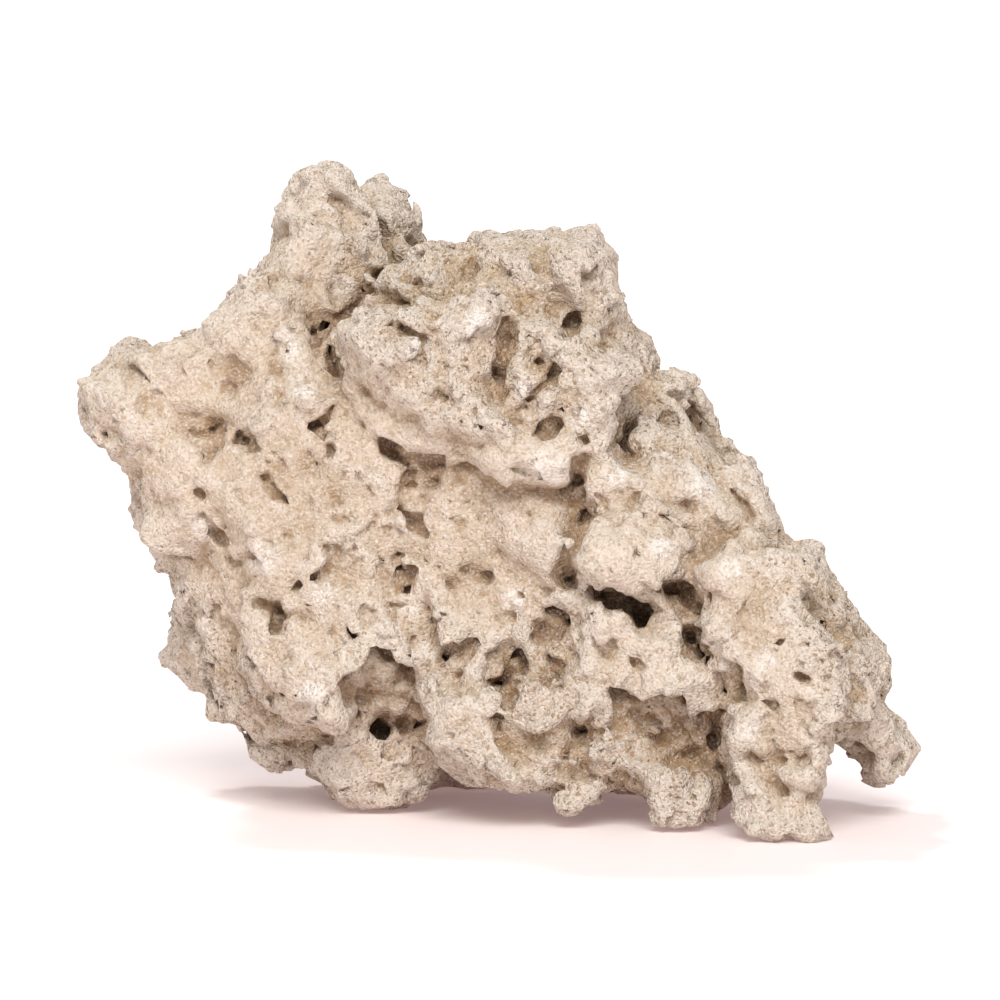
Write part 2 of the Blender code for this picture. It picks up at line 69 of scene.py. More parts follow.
# Slabs: depth of the front and the back at the middle, border radius, slopes of the faces along
# the rock and upwards, and the outline.
slabs = {
    "core": (-44, 84, 56, turn, 0.0, [
        (-100, 40), (-114, 66), (-122, 92), (-130, 114), (-134, 134), (-122, 166), (-92, 188),
        (-60, 192), (-20, 207), (28, 212), (44, 188), (56, 163), (76, 148), (95, 128), (105, 104),
        (120, 94), (130, 76), (141, 58), (142, 44), (130, 30), (118, 22), (95, 18), (60, 14),
        (25, 13), (-5, 18), (-30, 24), (-60, 26), (-84, 30)]),
    "leftWing": (6, 70, 18, -0.15, 0.05, [
        (-158, 151), (-158, 163), (-149, 170), (-140, 178), (-130, 175), (-118, 181),
        (-104, 191), (-96, 203), (-78, 204), (-66, 185), (-70, 150), (-76, 120), (-100, 98),
        (-124, 102), (-129, 108), (-132, 117), (-136, 130), (-141, 135), (-149, 141)]),
    "fin": (12, 56, 13, turn, 0.15, [
        (-97, 198), (-94, 206), (-87, 214), (-86, 223), (-84, 229), (-77, 234), (-71, 240),
        (-64, 243), (-59, 242), (-56, 235), (-54, 226), (-51, 214), (-48, 198), (-58, 183),
        (-76, 176), (-92, 182)]),
    "secondPeak": (24, 64, 12, turn, 0.1, [
        (-55, 222), (-51, 233), (-45, 236), (-40, 233), (-36, 227), (-33, 219), (-28, 209),
        (-20, 194), (-45, 188), (-57, 200)]),
    "crown": (-42, 70, 22, turn, 0.3, [
        (-34, 206), (-28, 212), (-20, 211), (-13, 211), (-8, 214), (-7, 219), (7, 220),
        (20, 219), (33, 218), (40, 210), (41, 200), (45, 193), (50, 181), (56, 176), (57, 168),
        (50, 160), (30, 148), (-20, 146), (-48, 168), (-44, 192)]),
    "brow": (-52, 20, 12, -0.12, 0.12, [
        (-62, 181), (-56, 172), (-50, 160), (-44, 152), (-28, 146), (-10, 140), (3, 132),
        (12, 128), (26, 126), (31, 132), (38, 138), (46, 150), (44, 168), (30, 186), (0, 192),
        (-32, 194), (-50, 190)]),
    "smoothSlope": (-42, 20, 6, -0.55, -0.25, [
        (-60, 174), (-59, 158), (-54, 148), (-46, 142), (-37, 138), (-29, 137),
        (-20, 131), (-12, 134), (2, 126), (12, 134), (0, 150), (-40, 168)]),
    "shoulder": (-50, 50, 40, turn, 0.15, [
        (36, 152), (51, 161), (57, 163), (66, 164), (72, 161), (77, 154), (77, 148), (85, 144),
        (94, 135), (101, 125), (107, 109), (103, 104), (92, 90), (60, 94), (34, 118)]),
    "arm": (-82, 26, 34, turn, 0.05, [
        (94, 114), (107, 100), (118, 100), (123, 98), (125, 93), (129, 86), (131, 79), (135, 73),
        (141, 64), (145, 57), (146, 50), (147, 38), (136, 27), (118, 20), (94, 22), (82, 40),
        (80, 60), (78, 88)]),
    "knob": (-46, -2, 11, 0.0, 0.0, [
        (132, 52), (143, 48), (149, 40), (152, 35), (156, 30), (158, 25), (155, 18), (154, 12),
        (147, 10), (140, 11), (138, 16), (132, 19), (126, 24), (124, 38)]),
    "plate": (-84, 0, 10, -0.2, 0.1, [
        (74, 99), (72, 90), (78, 80), (74, 70), (81, 58), (89, 50), (91, 42), (87, 32), (92, 22),
        (91, 6), (122, 4), (130, 30), (137, 50), (126, 80), (112, 98), (90, 106)]),
    "dome": (-66, 0, 12, turn, 0.40, [
        (28, 97), (33, 110), (44, 121), (58, 122), (70, 112), (75, 98), (68, 89), (58, 86),
        (48, 85), (40, 88), (33, 90)]),
    "centreBlock": (-64, 0, 9, -0.2, 0.1, [
        (30, 76), (42, 77), (50, 71), (58, 68), (70, 71), (77, 60), (85, 50), (86, 42), (78, 37),
        (72, 37), (68, 45), (62, 42), (56, 39), (50, 43), (43, 46), (38, 38), (30, 33), (17, 29),
        (9, 33), (9, 45), (20, 52), (28, 60)]),
    "pillar": (-44, 20, 7, -0.2, 0.1, [
        (-30, 86), (-22, 62), (-30, 54), (-27, 40), (-23, 25), (-13, 20), (-4, 15), (5, 13),
        (0, 28), (-4, 45), (-2, 60), (9, 66), (12, 82), (0, 94)]),
    "lobe": (-24, 50, 8, -0.1, 0.3, [
        (-100, 84), (-84, 96), (-62, 88), (-52, 64), (-53, 53), (-58, 46), (-53, 38), (-56, 31),
        (-68, 29), (-78, 34), (-86, 39), (-92, 48), (-98, 60)]),
    "shelf": (26, 80, 14, -0.1, 0.0, [
        (-95, 36), (-105, 40), (-107, 46), (-111, 51), (-114, 61), (-116, 68), (-111, 71),
        (-109, 74), (-112, 78), (-119, 78), (-110, 96), (-70, 90), (-60, 40), (-69, 22),
        (-84, 23), (-91, 27)]),
    "footRight": (-89, -36, 9, 0.0, 0.25, [
        (90, 44), (90, 10), (92, -5), (99, -11), (106, -12), (114, -16), (124, -15), (125, -8),
        (122, 2), (125, 14), (130, 34), (110, 54)]),
    "footMiddle": (-63, -16, 8, 0.0, 0.3, [
        (54, 24), (56, 8), (59, 4), (60, -4), (66, -10), (76, -10), (80, -3), (83, 1), (88, 12),
        (86, 26), (70, 34)]),
    "footLeft": (-6, 50, 9, 0.0, 0.0, [
        (-70, 34), (-69, 17), (-67, 12), (-63, 6), (-55, -4), (-40, -4), (-29, 5), (-24, 11),
        (-19, 17), (-21, 32), (-40, 42), (-60, 44)]),
    "skirt": (-51, 30, 4, -0.15, -0.4, [
        (-28, 26), (-20, 20), (-8, 17), (4, 14), (14, 12), (26, 10), (38, 11), (48, 11), (56, 5),
        (64, -2), (80, -3), (88, 4), (92, 24), (90, 40), (72, 46), (40, 50), (8, 50), (-22, 44)]),
    "spur": (-46, -14, 5, 0.0, 0.2, [
        (20, 20), (24, 10), (20, 4), (23, 1), (30, 3), (41, 8), (52, 13), (54, 22)]),
}

# Round masses of the back: middle, half sizes and tilt.
masses = [
    ((-60, 84, 104), (46, 34, 52), 15),
    ((10, 70, 120), (50, 32, 46), 0),
    ((70, 44, 84), (42, 34, 46), 20),
    ((-88, 92, 60), (30, 26, 28), 0),
    ((12, 84, 62), (42, 28, 34), 0),
    ((-112, 66, 118), (24, 24, 30), 0),
    ((20, 60, 176), (26, 22, 24), 0),
    ((64, 52, 26), (26, 28, 32), 0),
    ((-8, 76, 20), (24, 24, 28), 0),
    ((-44, 84, 26), (22, 22, 32), 0),
]


def onSight(right, up, depth):
    # the place at this depth that shows at (right, up) on the plane y = 0
    spread = (depth - eye[1]) / -eye[1]
    return np.array((eye[0] + (right - eye[0]) * spread, depth, eye[2] + (up - eye[2]) * spread))


def drift(x, y, z):
    # the slow uneven bend that takes the slabs out of line
    slow = noise.noise_vector(Vector((x, y, z)) / 45.0)
    quick = noise.noise_vector(Vector((x + 300.0, y, z)) / 22.0)
    sideways = 1.5 + 4.0 * min(1.0, max(0.0, (y - 30.0) / 50.0))
    nearFloor = min(1.0, max(0.0, z / 20.0))
    return (slow.x * sideways + quick.x * 2.0, slow.y * 9.0 + quick.y * 4.0,
            (slow.z * sideways + quick.z * 2.0) * nearFloor)


def borderDistance(outline, rights, ups, closed=True):
    # distance from the outline on a flat grid, negative inside a closed one
    across, upwards = np.meshgrid(rights, ups, indexing="ij")
    nearest = np.full(across.shape, 1e6)
    inside = np.zeros(across.shape, bool)
    ends = outline[1:] + outline[:1] if closed else outline[1:]
    for (ax, ay), (bx, by) in zip(outline, ends):
        ex, ey = bx - ax, by - ay
        reach = np.clip(((across - ax) * ex + (upwards - ay) * ey) / (ex * ex + ey * ey), 0, 1)
        nearest = np.minimum(nearest, np.hypot(across - ax - reach * ex, upwards - ay - reach * ey))
        if closed and ay != by:
            crossing = (ay > upwards) != (by > upwards)
            inside ^= crossing & (across < (bx - ax) * (upwards - ay) / (by - ay) + ax)
    distance = np.where(inside, -nearest, nearest)
    for _ in range(2):                    # takes the hard corners off
        p = np.pad(distance, 1, mode="edge")
        distance = (p[:-2, 1:-1] + p[2:, 1:-1] + p[1:-1, :-2] + p[1:-1, 2:] + 4 * p[1:-1, 1:-1]) / 8
    return distance.astype(np.float32)


def readFlat(grid, start, cell, across, upwards):
    # the flat grid's value at each (across, upwards), between its points
    a = np.clip((across - start[0]) / cell, 0, grid.shape[0] - 1.001)
    b = np.clip((upwards - start[1]) / cell, 0, grid.shape[1] - 1.001)
    i, j = a.astype(np.int32), b.astype(np.int32)
    a -= i
    b -= j
    flat, width = grid.ravel(), grid.shape[1]
    k = i * width + j
    lower = flat[k] * (1 - a) + flat[k + width] * a
    return lower * (1 - b) + (flat[k + 1] * (1 - a) + flat[k + width + 1] * a) * b


def smoothLess(a, b, rounding):
    # the lesser of two distances, with the crease between them filled
    h = np.maximum(rounding - np.abs(a - b), 0) / rounding
    return np.minimum(a, b) - h * h * rounding / 4


def smoothMore(a, b, rounding):
    return -smoothLess(-a, -b, rounding)


class Block:
    # a box of cells that holds how far each is outside the rock, in millimetres
    swing = 2.2                           # makes up for what the spreading flattens

    def __init__(self):
        self.shape = tuple(np.ceil((high - low) / step).astype(int) + 1)
        self.axes = [(low[i] + step * np.arange(self.shape[i])).astype(np.float32) for i in range(3)]
        self.field = np.full(self.shape, 30.0, np.float32)

    def spread(self, lattice, spacing):
        # a smooth field through a coarse lattice that starts two spacings outside the block
        out = lattice.astype(np.float32)
        for axis in range(3):
            place = (self.axes[axis] - low[axis]) / spacing + 2
            i = np.floor(place).astype(int)
            f = (place - i).astype(np.float32)
            lined = [1, 1, 1]
            lined[axis] = len(place)
            total = 0
            for k, w in ((-1, (1 - f) ** 3 / 6), (0, (3 * f**3 - 6 * f**2 + 4) / 6),
                         (1, (-3 * f**3 + 3 * f**2 + 3 * f + 1) / 6), (2, f**3 / 6)):
                rows = np.take(out, i + k, axis=axis)
                rows *= w.reshape(lined)
                total = rows + total
            out = total
        return out

    def latticeShape(self, spacing):
        return tuple(np.ceil((high - low) / spacing).astype(int) + 6)

    def grain(self, spacing, seed):
        # smooth random field with a spread of about 1
        lattice = np.random.default_rng(seed).standard_normal(self.latticeShape(spacing))
        return self.spread(lattice * self.swing, spacing)

    def beds(self, spacing, seed):
        # the same, drawn out along the beds of the stone, which fall to the right
        draw = np.random.default_rng(seed).standard_normal(self.latticeShape(spacing))
        for _ in range(2):
            before, after = (np.roll(draw, way, (0, 1, 2)) for way in ((1, 0, -1), (-1, 0, 1)))
            draw = draw + 0.8 * (before + after)
        return self.spread(draw / draw.std() * self.swing, spacing)

    def part(self, middle, reach):
        # the cells within reach of the middle
        slices = []
        for size, centre, half, start in zip(self.shape, middle, reach, low):
            first, last = (centre - half - start) / step, (centre + half - start) / step + 2
            slices.append(slice(int(np.clip(first, 0, size)), int(np.clip(last, 0, size))))
        return tuple(slices)

    def places(self, part):
        return np.meshgrid(*[self.axes[a][part[a]] for a in range(3)], indexing="ij", sparse=True)

    def takeOut(self, part, hollow, rounding):
        # hollow: distance from the border of what goes, negative inside
        self.field[part] = smoothMore(self.field[part], -hollow, rounding)


def seenAt(x, y, z):
    # (right, up) where a place shows on the plane y = 0
    scale = -eye[1] / (y - eye[1])
    return eye[0] + (x - eye[0]) * scale, eye[2] + (z - eye[2]) * scale


def ballDistance(x, y, z, middle, sizes, tilt):
    spin = np.array(Euler(tuple(math.radians(a) for a in tilt)).to_matrix())
    d = (x - middle[0], y - middle[1], z - middle[2])
    q = [(spin[0][a] * d[0] + spin[1][a] * d[1] + spin[2][a] * d[2]) / sizes[a] for a in range(3)]
    k0 = np.sqrt(sum(v * v for v in q)) + 1e-6
    k1 = np.sqrt(sum((q[a] / sizes[a]) ** 2 for a in range(3))) + 1e-6
    return k0 * (k0 - 1) / k1


def chamfered(a, b):
    # distance from a corner that is cut at 45 degrees instead of rounded
    return np.maximum(np.maximum(a, b), (a + b) * math.sqrt(0.5)) * 1.04


def mainForm(block):
    noise.seed_set(drawing["driftSeed"])
    spacing = 8.0
    counts = block.latticeShape(spacing)
    lattice = np.array([[[drift(*(low + spacing * (np.array((i, j, k)) - 2)))
                          for k in range(counts[2])] for j in range(counts[1])]
                        for i in range(counts[0])])
    grid = [a.astype(np.float32) for a in np.meshgrid(*block.axes, indexing="ij", sparse=True)]
    moved = [grid[a] + block.spread(lattice[..., a], spacing) for a in range(3)]
    right, up = seenAt(*moved)
    cell, start, end = 1.5, (-190, -40), (190, 270)
    rights, ups = [np.arange(start[a], end[a], cell) for a in (0, 1)]
    for front, back, rim, along, lie, outline in slabs.values():
        corners = np.array(outline, float)
        middle = corners.mean(axis=0)
        least = onSight(*corners.min(axis=0), 0) - 20
        most = onSight(*corners.max(axis=0), 0) + 20
        sway = abs(along) * (most[0] - least[0]) / 2 + abs(lie) * (most[2] - least[2]) / 2 + 24
        reach = (most - least) / 2 + np.array((0, (back - front) / 2 + sway, 0))
        part = block.part((least + most) / 2 + np.array((0, (front + back) / 2, 0)), reach)
        flat = borderDistance(outline, rights, ups)
        inward = rim + readFlat(flat, start, cell, right[part], up[part])
        centre = (front + back) / 2 + along * (right[part] - middle[0]) + lie * (up[part] - middle[1])
        outward = rim + np.abs(moved[1][part] - centre) - (back - front) / 2
        shape = np.minimum(np.maximum(inward, outward), 0) - rim
        shape += chamfered(np.maximum(inward, 0), np.maximum(outward, 0))
        block.field[part] = smoothLess(block.field[part], shape, 2.0)
    for middle, sizes, tilt in masses:
        part = block.part(middle, [max(sizes) + 22] * 3)
        shape = ballDistance(*[m[part] for m in moved], middle, sizes, (0, tilt, 0))
        block.field[part] = smoothLess(block.field[part], shape, 4.0)


def frontDepth(block, rights, ups):
    # the depth at which each line of sight first meets the rock
    depth = np.full((len(rights), len(ups)), 400.0, np.float32)
    across, upwards = np.meshgrid(rights, ups, indexing="ij")
    unmet = np.ones(across.shape, bool)
    before = np.full(across.shape, 30.0, np.float32)
    for y in block.axes[1]:
        spread = (y - eye[1]) / -eye[1]
        x, z = eye[0] + (across - eye[0]) * spread, eye[2] + (upwards - eye[2]) * spread
        i = np.clip(np.round((x - low[0]) / step).astype(int), 0, block.shape[0] - 1)
        k = np.clip(np.round((z - low[2]) / step).astype(int), 0, block.shape[2] - 1)
        j = int(round((y - low[1]) / step))
        value = block.field[i, j, k]
        hit = unmet & (value < 0)
        depth[hit] = y - step * value[hit] / (value[hit] - before[hit] - 1e-6)
        unmet &= ~hit
        before = value
    return depth


# Blocks that stand out of the front: height and outline.
lumps = {
    "neckLump": (4.5, [
        (-85, 184), (-77, 187), (-70, 182), (-67, 175), (-70, 166), (-80, 164), (-86, 172)]),
    "lowerNeckLump": (4.0, [(-84, 163), (-74, 165), (-64, 161), (-62, 154), (-70, 149), (-80, 151)]),
    "finFace": (2.5, [
        (-86, 214), (-80, 230), (-70, 236), (-62, 232), (-66, 216), (-72, 200), (-84, 200)]),
    "peakLump": (3.0, [(-55, 216), (-48, 220), (-42, 212), (-45, 203), (-54, 205)]),
    "lowerPeakLump": (3.5, [(-45, 207), (-37, 210), (-31, 203), (-35, 196), (-43, 199)]),
    "peakTop": (2.5, [(-50, 230), (-44, 234), (-39, 229), (-41, 221), (-49, 222)]),
    "saddleLump": (3.0, [(-32, 206), (-24, 209), (-18, 203), (-22, 196), (-31, 198)]),
    "browBlock": (4.0, [
        (-60, 185), (-48, 187), (-34, 183), (-27, 179), (-29, 171), (-40, 167), (-50, 169),
        (-58, 177)]),
    "browFace": (3.0, [
        (-46, 166), (-36, 170), (-20, 168), (-6, 160), (3, 150), (2, 138), (-10, 142), (-28, 149),
        (-42, 155)]),
    "crownLeft": (5.0, [
        (-26, 187), (-16, 198), (-6, 203), (0, 196), (-1, 184), (-4, 176), (-14, 175), (-24, 179)]),
    "crownTop": (3.0, [(-8, 213), (2, 218), (12, 216), (14, 208), (6, 202), (-6, 205)]),
    "crownRight": (4.5, [(17, 202), (20, 214), (32, 216), (41, 212), (45, 196), (38, 190), (27, 194)]),
    "crownSide": (4.5, [(22, 175), (34, 178), (48, 172), (54, 164), (42, 158), (26, 161)]),
    "crownFin": (4.0, [(7, 189), (13, 187), (12, 178), (10, 163), (6, 160), (5, 178)]),
    "crownKnuckle": (4.0, [(12, 156), (17, 165), (26, 164), (28, 156), (20, 152)]),
    "wingLedge": (3.5, [
        (-140, 172), (-130, 164), (-118, 155), (-106, 151), (-98, 146), (-88, 144), (-82, 152),
        (-84, 168), (-86, 186), (-96, 196), (-118, 184), (-132, 180)]),
    "wingBand": (3.5, [(-128, 146), (-118, 145), (-92, 115), (-84, 100), (-94, 96), (-112, 122)]),
    "shoulderCap": (3.0, [(60, 158), (68, 163), (76, 156), (74, 149), (64, 150)]),
    "shoulderRib": (3.5, [(60, 133), (72, 139), (88, 122), (92, 110), (82, 108), (68, 118)]),
    "armKnuckle": (2.0, [(114, 62), (121, 66), (127, 60), (124, 50), (116, 50)]),
    "armTop": (3.0, [(110, 98), (119, 100), (126, 92), (124, 84), (112, 86)]),
    "lobeFace": (2.5, [(-92, 70), (-78, 74), (-64, 68), (-58, 58), (-62, 46), (-76, 44), (-88, 54)]),
    "belly": (3.0, [(4, 34), (16, 37), (28, 30), (26, 20), (14, 16), (6, 22)]),
    "lowerBelly": (3.0, [(34, 30), (46, 33), (56, 28), (58, 18), (44, 16), (36, 20)]),
}

# Holes of the front: depth, how the hole runs right and up for each millimetre that it goes in,
# how the floor falls right and up, and the outline of the mouth.
holes = {
    "leftCave": (7, (-0.15, 0.35), (0.0, 0.35), [
        (-61, 71.5), (-49, 66), (-44, 61.5), (-38, 57), (-31, 54), (-32, 47), (-28, 42),
        (-25, 31), (-27, 23.5), (-34, 25.5), (-42, 26.5), (-52, 29), (-55, 37), (-58, 47),
        (-54, 55), (-52, 61)]),
    "leftCaveRoof": (14, (0.0, 0.45), (0, 0), [
        (-60, 71), (-52, 67), (-44, 62), (-39, 57), (-32, 54), (-34, 49.5), (-40, 52), (-46, 57),
        (-53, 62.5)]),
    "leftCaveHole": (24, (0, 0), (0, 0), [(-51, 35), (-46, 37), (-42, 33), (-43, 28), (-48, 27)]),
    "leftCavePocket": (12, (-0.4, 0.1), (0, 0), [(-60, 50), (-56, 55), (-51, 50), (-51, 43), (-57, 41)]),
    "leftCaveSlot": (12, (0.1, 0), (0, 0), [(-32, 36), (-28, 33.5), (-27, 24), (-30.5, 24), (-32.5, 30)]),
    "leftCaveNook": (9, (0, 0.2), (0, 0), [(-39, 38), (-35, 40), (-33, 35), (-37, 32)]),
    "pillarHollow": (6, (0, 0.2), (0.1, 0.3), [
        (-21, 60), (-19, 65), (-12, 68.5), (-7, 68), (-6, 64), (-9, 59), (-14, 54), (-17, 46),
        (-20, 50)]),
    "centreCave": (8, (0, 0.2), (-0.2, 0.2), [
        (1, 59), (4, 62.5), (8, 61.5), (12, 57), (12, 52), (8, 49), (9, 44), (6, 37), (1, 38),
        (-2.5, 42), (-2.5, 47), (1, 50), (2, 54)]),
    "centreCaveHole": (12, (-0.2, 0.3), (0, 0), [
        (-2.5, 46.5), (0.5, 49), (4, 46), (8, 43.5), (7, 40), (1, 40)]),
    "centreCaveNotch": (9, (0, 0.3), (0, 0), [(3, 62.5), (7, 62), (8, 57), (3, 56)]),
    "underLedge": (6, (0, 0.3), (0, 0.35), [
        (-1, 38), (5, 34.5), (9, 31), (14, 29), (20, 32), (27, 32.5), (33, 33.5), (31, 25),
        (22, 19), (8, 20), (-1, 26)]),
    "underLedgeHole": (9, (0, 0.2), (0, 0), [(11, 30.5), (15, 29), (18, 30), (16, 26.5), (12, 27)]),
    "middleCave": (11, (0, 0.3), (0.2, 0.4), [
        (16, 83), (19, 80), (22, 79), (25, 75), (27.5, 72), (26.5, 66), (28, 60.5), (24, 62.5),
        (20, 63.5), (13, 64), (12.5, 69), (14, 75)]),
    "middleCaveCorner": (16, (0.1, 0), (0, 0), [(25, 66), (28, 65), (28.5, 60), (25, 61)]),
    "middlePocket": (6, (0, 0.2), (0, 0.3), [(17, 59), (21, 60.5), (26, 57), (25, 51), (19, 53)]),
    "leftEye": (22, (0.1, 0.1), (0, 0), [
        (34.5, 84), (39, 87.5), (43.5, 85), (47, 83), (48.5, 79), (44.5, 76), (40, 77), (35.5, 80)]),
    "middleEye": (22, (0, 0.1), (0, 0), [
        (50, 76.5), (52.5, 78.5), (57, 79.5), (60.5, 75), (56, 69), (51.5, 70.5)]),
    "eyeBridge": (12, (0, 0), (0, 0), [(46, 82), (52, 79.5), (52, 75.5), (46, 77)]),
    "rightEye": (12, (0.1, 0.2), (0.1, 0.1), [
        (60, 88), (65, 90), (70.5, 89), (74.5, 85), (76, 79), (74, 73.5), (70.5, 75.5), (67, 80),
        (62.5, 83.5)]),
    "rightEyeHole": (14, (0.2, 0), (0, 0), [(71, 81), (75.5, 80), (75, 73.5), (72, 75)]),
    "footHollow": (10, (0, 0.35), (0.12, 0.35), [
        (43, 46), (50, 43), (54, 39.5), (60, 42), (66, 43.5), (70, 41), (73, 36), (78, 38.5),
        (85, 39), (90, 35), (89, 30), (85, 25), (88, 18), (89, 10), (82, 12), (74, 15), (62, 15),
        (52, 21), (44, 31), (42, 39)]),
    "footHollowRoof": (12, (0, 0.4), (0, 0), [
        (43, 46), (49, 43.5), (54, 40), (60, 42), (65, 43.5), (70, 41.5), (73, 37), (70, 34.5),
        (62, 36.5), (52, 36), (45, 41)]),
    "footNook": (10, (0.1, 0.2), (0, 0), [(77, 38), (85, 39), (90, 35.5), (89, 30), (84, 27), (79, 31)]),
    "footHole": (15, (0.1, 0), (0, 0), [(77, 29), (83, 30), (85, 24), (81, 22)]),
    "browCave": (6, (0, 0.3), (0, 0.25), [
        (-46, 141.5), (-40, 138.5), (-32, 137.5), (-27, 134.5), (-21, 135), (-20.5, 131),
        (-23, 126), (-21, 118), (-28, 107.5), (-33, 112.5), (-40, 121.5), (-37, 126), (-34, 131),
        (-41, 134), (-45, 136.5)]),
    "browCaveSlot": (8, (0, 0.3), (0, 0), [
        (-46, 141.5), (-40, 138.5), (-33, 137.5), (-32, 133.5), (-40, 134.5), (-45, 137)]),
    "browCaveEnd": (6, (0, 0.2), (0, 0), [
        (-28, 135), (-21, 135.5), (-20.5, 130), (-24, 126.5), (-28, 129)]),
    "browCaveFoot": (6, (0, 0.1), (0, 0), [
        (-41, 122), (-37, 119.5), (-31, 112.5), (-27.5, 107.5), (-31, 107), (-37, 113)]),
    "neckHole": (11, (0.1, 0), (0, 0), [
        (-68, 177), (-65.5, 186), (-62.5, 181), (-61, 172), (-58.5, 168), (-60.5, 163.5),
        (-64, 165), (-66, 172)]),
    "wingHole": (5, (0, 0.2), (0, 0.2), [
        (-118, 145.5), (-117, 147.5), (-111, 145), (-106, 149), (-104, 147.5), (-108, 143),
        (-111, 140), (-115, 143)]),
    "wingDish": (4, (0, 0.2), (0, 0.2), [
        (-140, 156), (-135, 159), (-130, 157), (-132, 153), (-138, 152)]),
    "underWingLedge": (3, (0, 0.2), (0.10, 0.22), [
        (-143, 167), (-138, 170), (-129, 163), (-118, 154), (-106, 150), (-103, 146), (-106, 140),
        (-116, 140), (-128, 148), (-140, 158)]),
    "underBrow": (6, (0.1, 0.1), (0.30, 0.05), [
        (0, 128), (10, 127), (20, 125), (30, 127), (35, 122), (34, 112), (29, 104), (22, 107),
        (12, 112), (2, 118)]),
    "crownGroove": (6, (0, 0), (0, 0), [
        (-1, 187), (3, 189), (7, 186), (4.5, 178), (4, 166), (0, 163.5), (-4, 167), (-2, 178)]),
    "crownGrooveHole": (9, (0, 0), (0, 0), [(-2.6, 168.8), (0, 169.2), (0.6, 166.5), (-2, 166)]),
    "crownWindow": (7, (0, 0.1), (0, 0), [
        (20.5, 182), (23.5, 186), (27.5, 188.5), (31, 186.5), (28, 182.5), (23.5, 179)]),
    "crownPit": (6.5, (0, 0.1), (0, 0), [
        (11, 170.5), (13, 174), (15.5, 177.5), (18.5, 174.5), (19, 171.5), (15, 169.5)]),
    "browWindow": (6.5, (0, 0.1), (0, 0), [
        (12, 143), (13.5, 147), (17, 149.5), (21.5, 148.5), (20, 144), (16, 142.3)]),
    "peakHole": (6, (0, 0.1), (0, 0), [(-31, 171), (-28, 174.5), (-25, 169.5), (-29, 168)]),
    "shoulderHole": (8, (0, 0.1), (0, 0), [(68, 149.5), (71, 149), (73.5, 142), (70, 139.5), (68, 144)]),
    "shoulderDish": (2.5, (0, 0), (0, 0), [
        (43, 138), (46, 142), (52, 141), (55, 135), (50, 132), (45, 133)]),
    "domeDish": (2.0, (0, 0), (0, 0.1), [(50, 110), (56, 113), (64, 110), (64, 104), (54, 104)]),
    "underKnob": (12, (0, 0.3), (0, 0.2), [
        (121, 29), (128, 27), (135, 25), (142, 21), (141, 16), (133, 17), (125, 20)]),
    "leftNook": (7, (0, 0.2), (0, 0.2), [(-96, 80), (-91, 83), (-86, 82), (-86, 76), (-93, 76)]),
    "armHole": (10, (0, 0.1), (0, 0), [(113, 75), (115.5, 76.5), (117.5, 74), (115.5, 72), (113, 72.5)]),
    "slopeDish": (2.5, (0, 0), (0, 0.1), [(-39, 93), (-34, 94), (-32, 88), (-36, 85), (-40, 88)]),
}

# Cracks of the front: depth, width, how they run right and up as they go in, and the line.
cracks = {
    "ledgeCrack": (11, 3.6, (0.1, 0), [(35, 119), (32, 111), (30, 102), (25, 96), (24, 91), (27, 86)]),
    "plateCrack": (12, 3.2, (0.4, 0.1), [(70, 68), (73, 62), (77, 57), (82, 52), (87, 50)]),
    "neckCrack": (9, 2.4, (0, 0.1), [(-60.5, 158), (-65, 152), (-71, 147)]),
    "neckCrease": (4, 1.8, (0, 0), [(-71, 147), (-67, 143), (-64, 136)]),
    "wingCrack": (7, 2.2, (0, 0.2), [(-97, 142.5), (-93, 139), (-89, 136)]),
    "lowerWingCrack": (6, 3.0, (0, 0.2), [(-89.5, 128.5), (-86, 123), (-81, 119)]),
    "peakCrack": (10, 2.2, (0, 0.1), [(-48, 198), (-43, 194.5), (-35, 192.5)]),
    "crownCrack": (6, 1.9, (0, 0.1), [(20.5, 167.5), (15, 161), (10.5, 155)]),
    "browCrease": (6, 1.8, (0, 0), [(-41, 186), (-34, 183), (-29, 180.5)]),
    "sideCrack": (7, 2.4, (0, 0.2), [(-70.5, 90.5), (-77, 86.5), (-83, 83), (-85, 77), (-85, 71)]),
    "shoulderCrease": (5, 2.0, (0, 0.1), [(61, 132), (66, 135), (73, 136)]),
    "footCrack": (15, 4.0, (0.2, 0), [(80, 31), (84, 25), (86, 18), (89, 10)]),
    "wingChain": (6, 2.2, (0, 0), [(-112, 114), (-108, 109), (-104, 104), (-100, 103.5)]),
    "wingChainEnd": (6, 2.4, (0, 0), [(-102, 98.5), (-99, 96.5), (-95, 99)]),
    "armCrescent": (6, 2.0, (0.1, 0), [(114, 62), (112, 57), (114, 52), (118, 50)]),
    "armStep": (4, 2.0, (0, 0.2), [(127, 58), (134, 54), (142, 51)]),
    "smallSlit": (5, 1.6, (0, 0), [(-79, 202.5), (-82, 199)]),
    "ribCrease": (4, 1.8, (0, 0), [(88, 123), (93, 116), (98, 108)]),
    "lobeCrease": (4, 2.0, (0, 0.1), [(-90, 46), (-82, 42), (-76, 36), (-66, 31)]),
    "browEdge": (5, 2.0, (0, 0.3), [(2, 130.5), (10, 128), (20, 126), (27, 126.5), (31, 134)]),
}

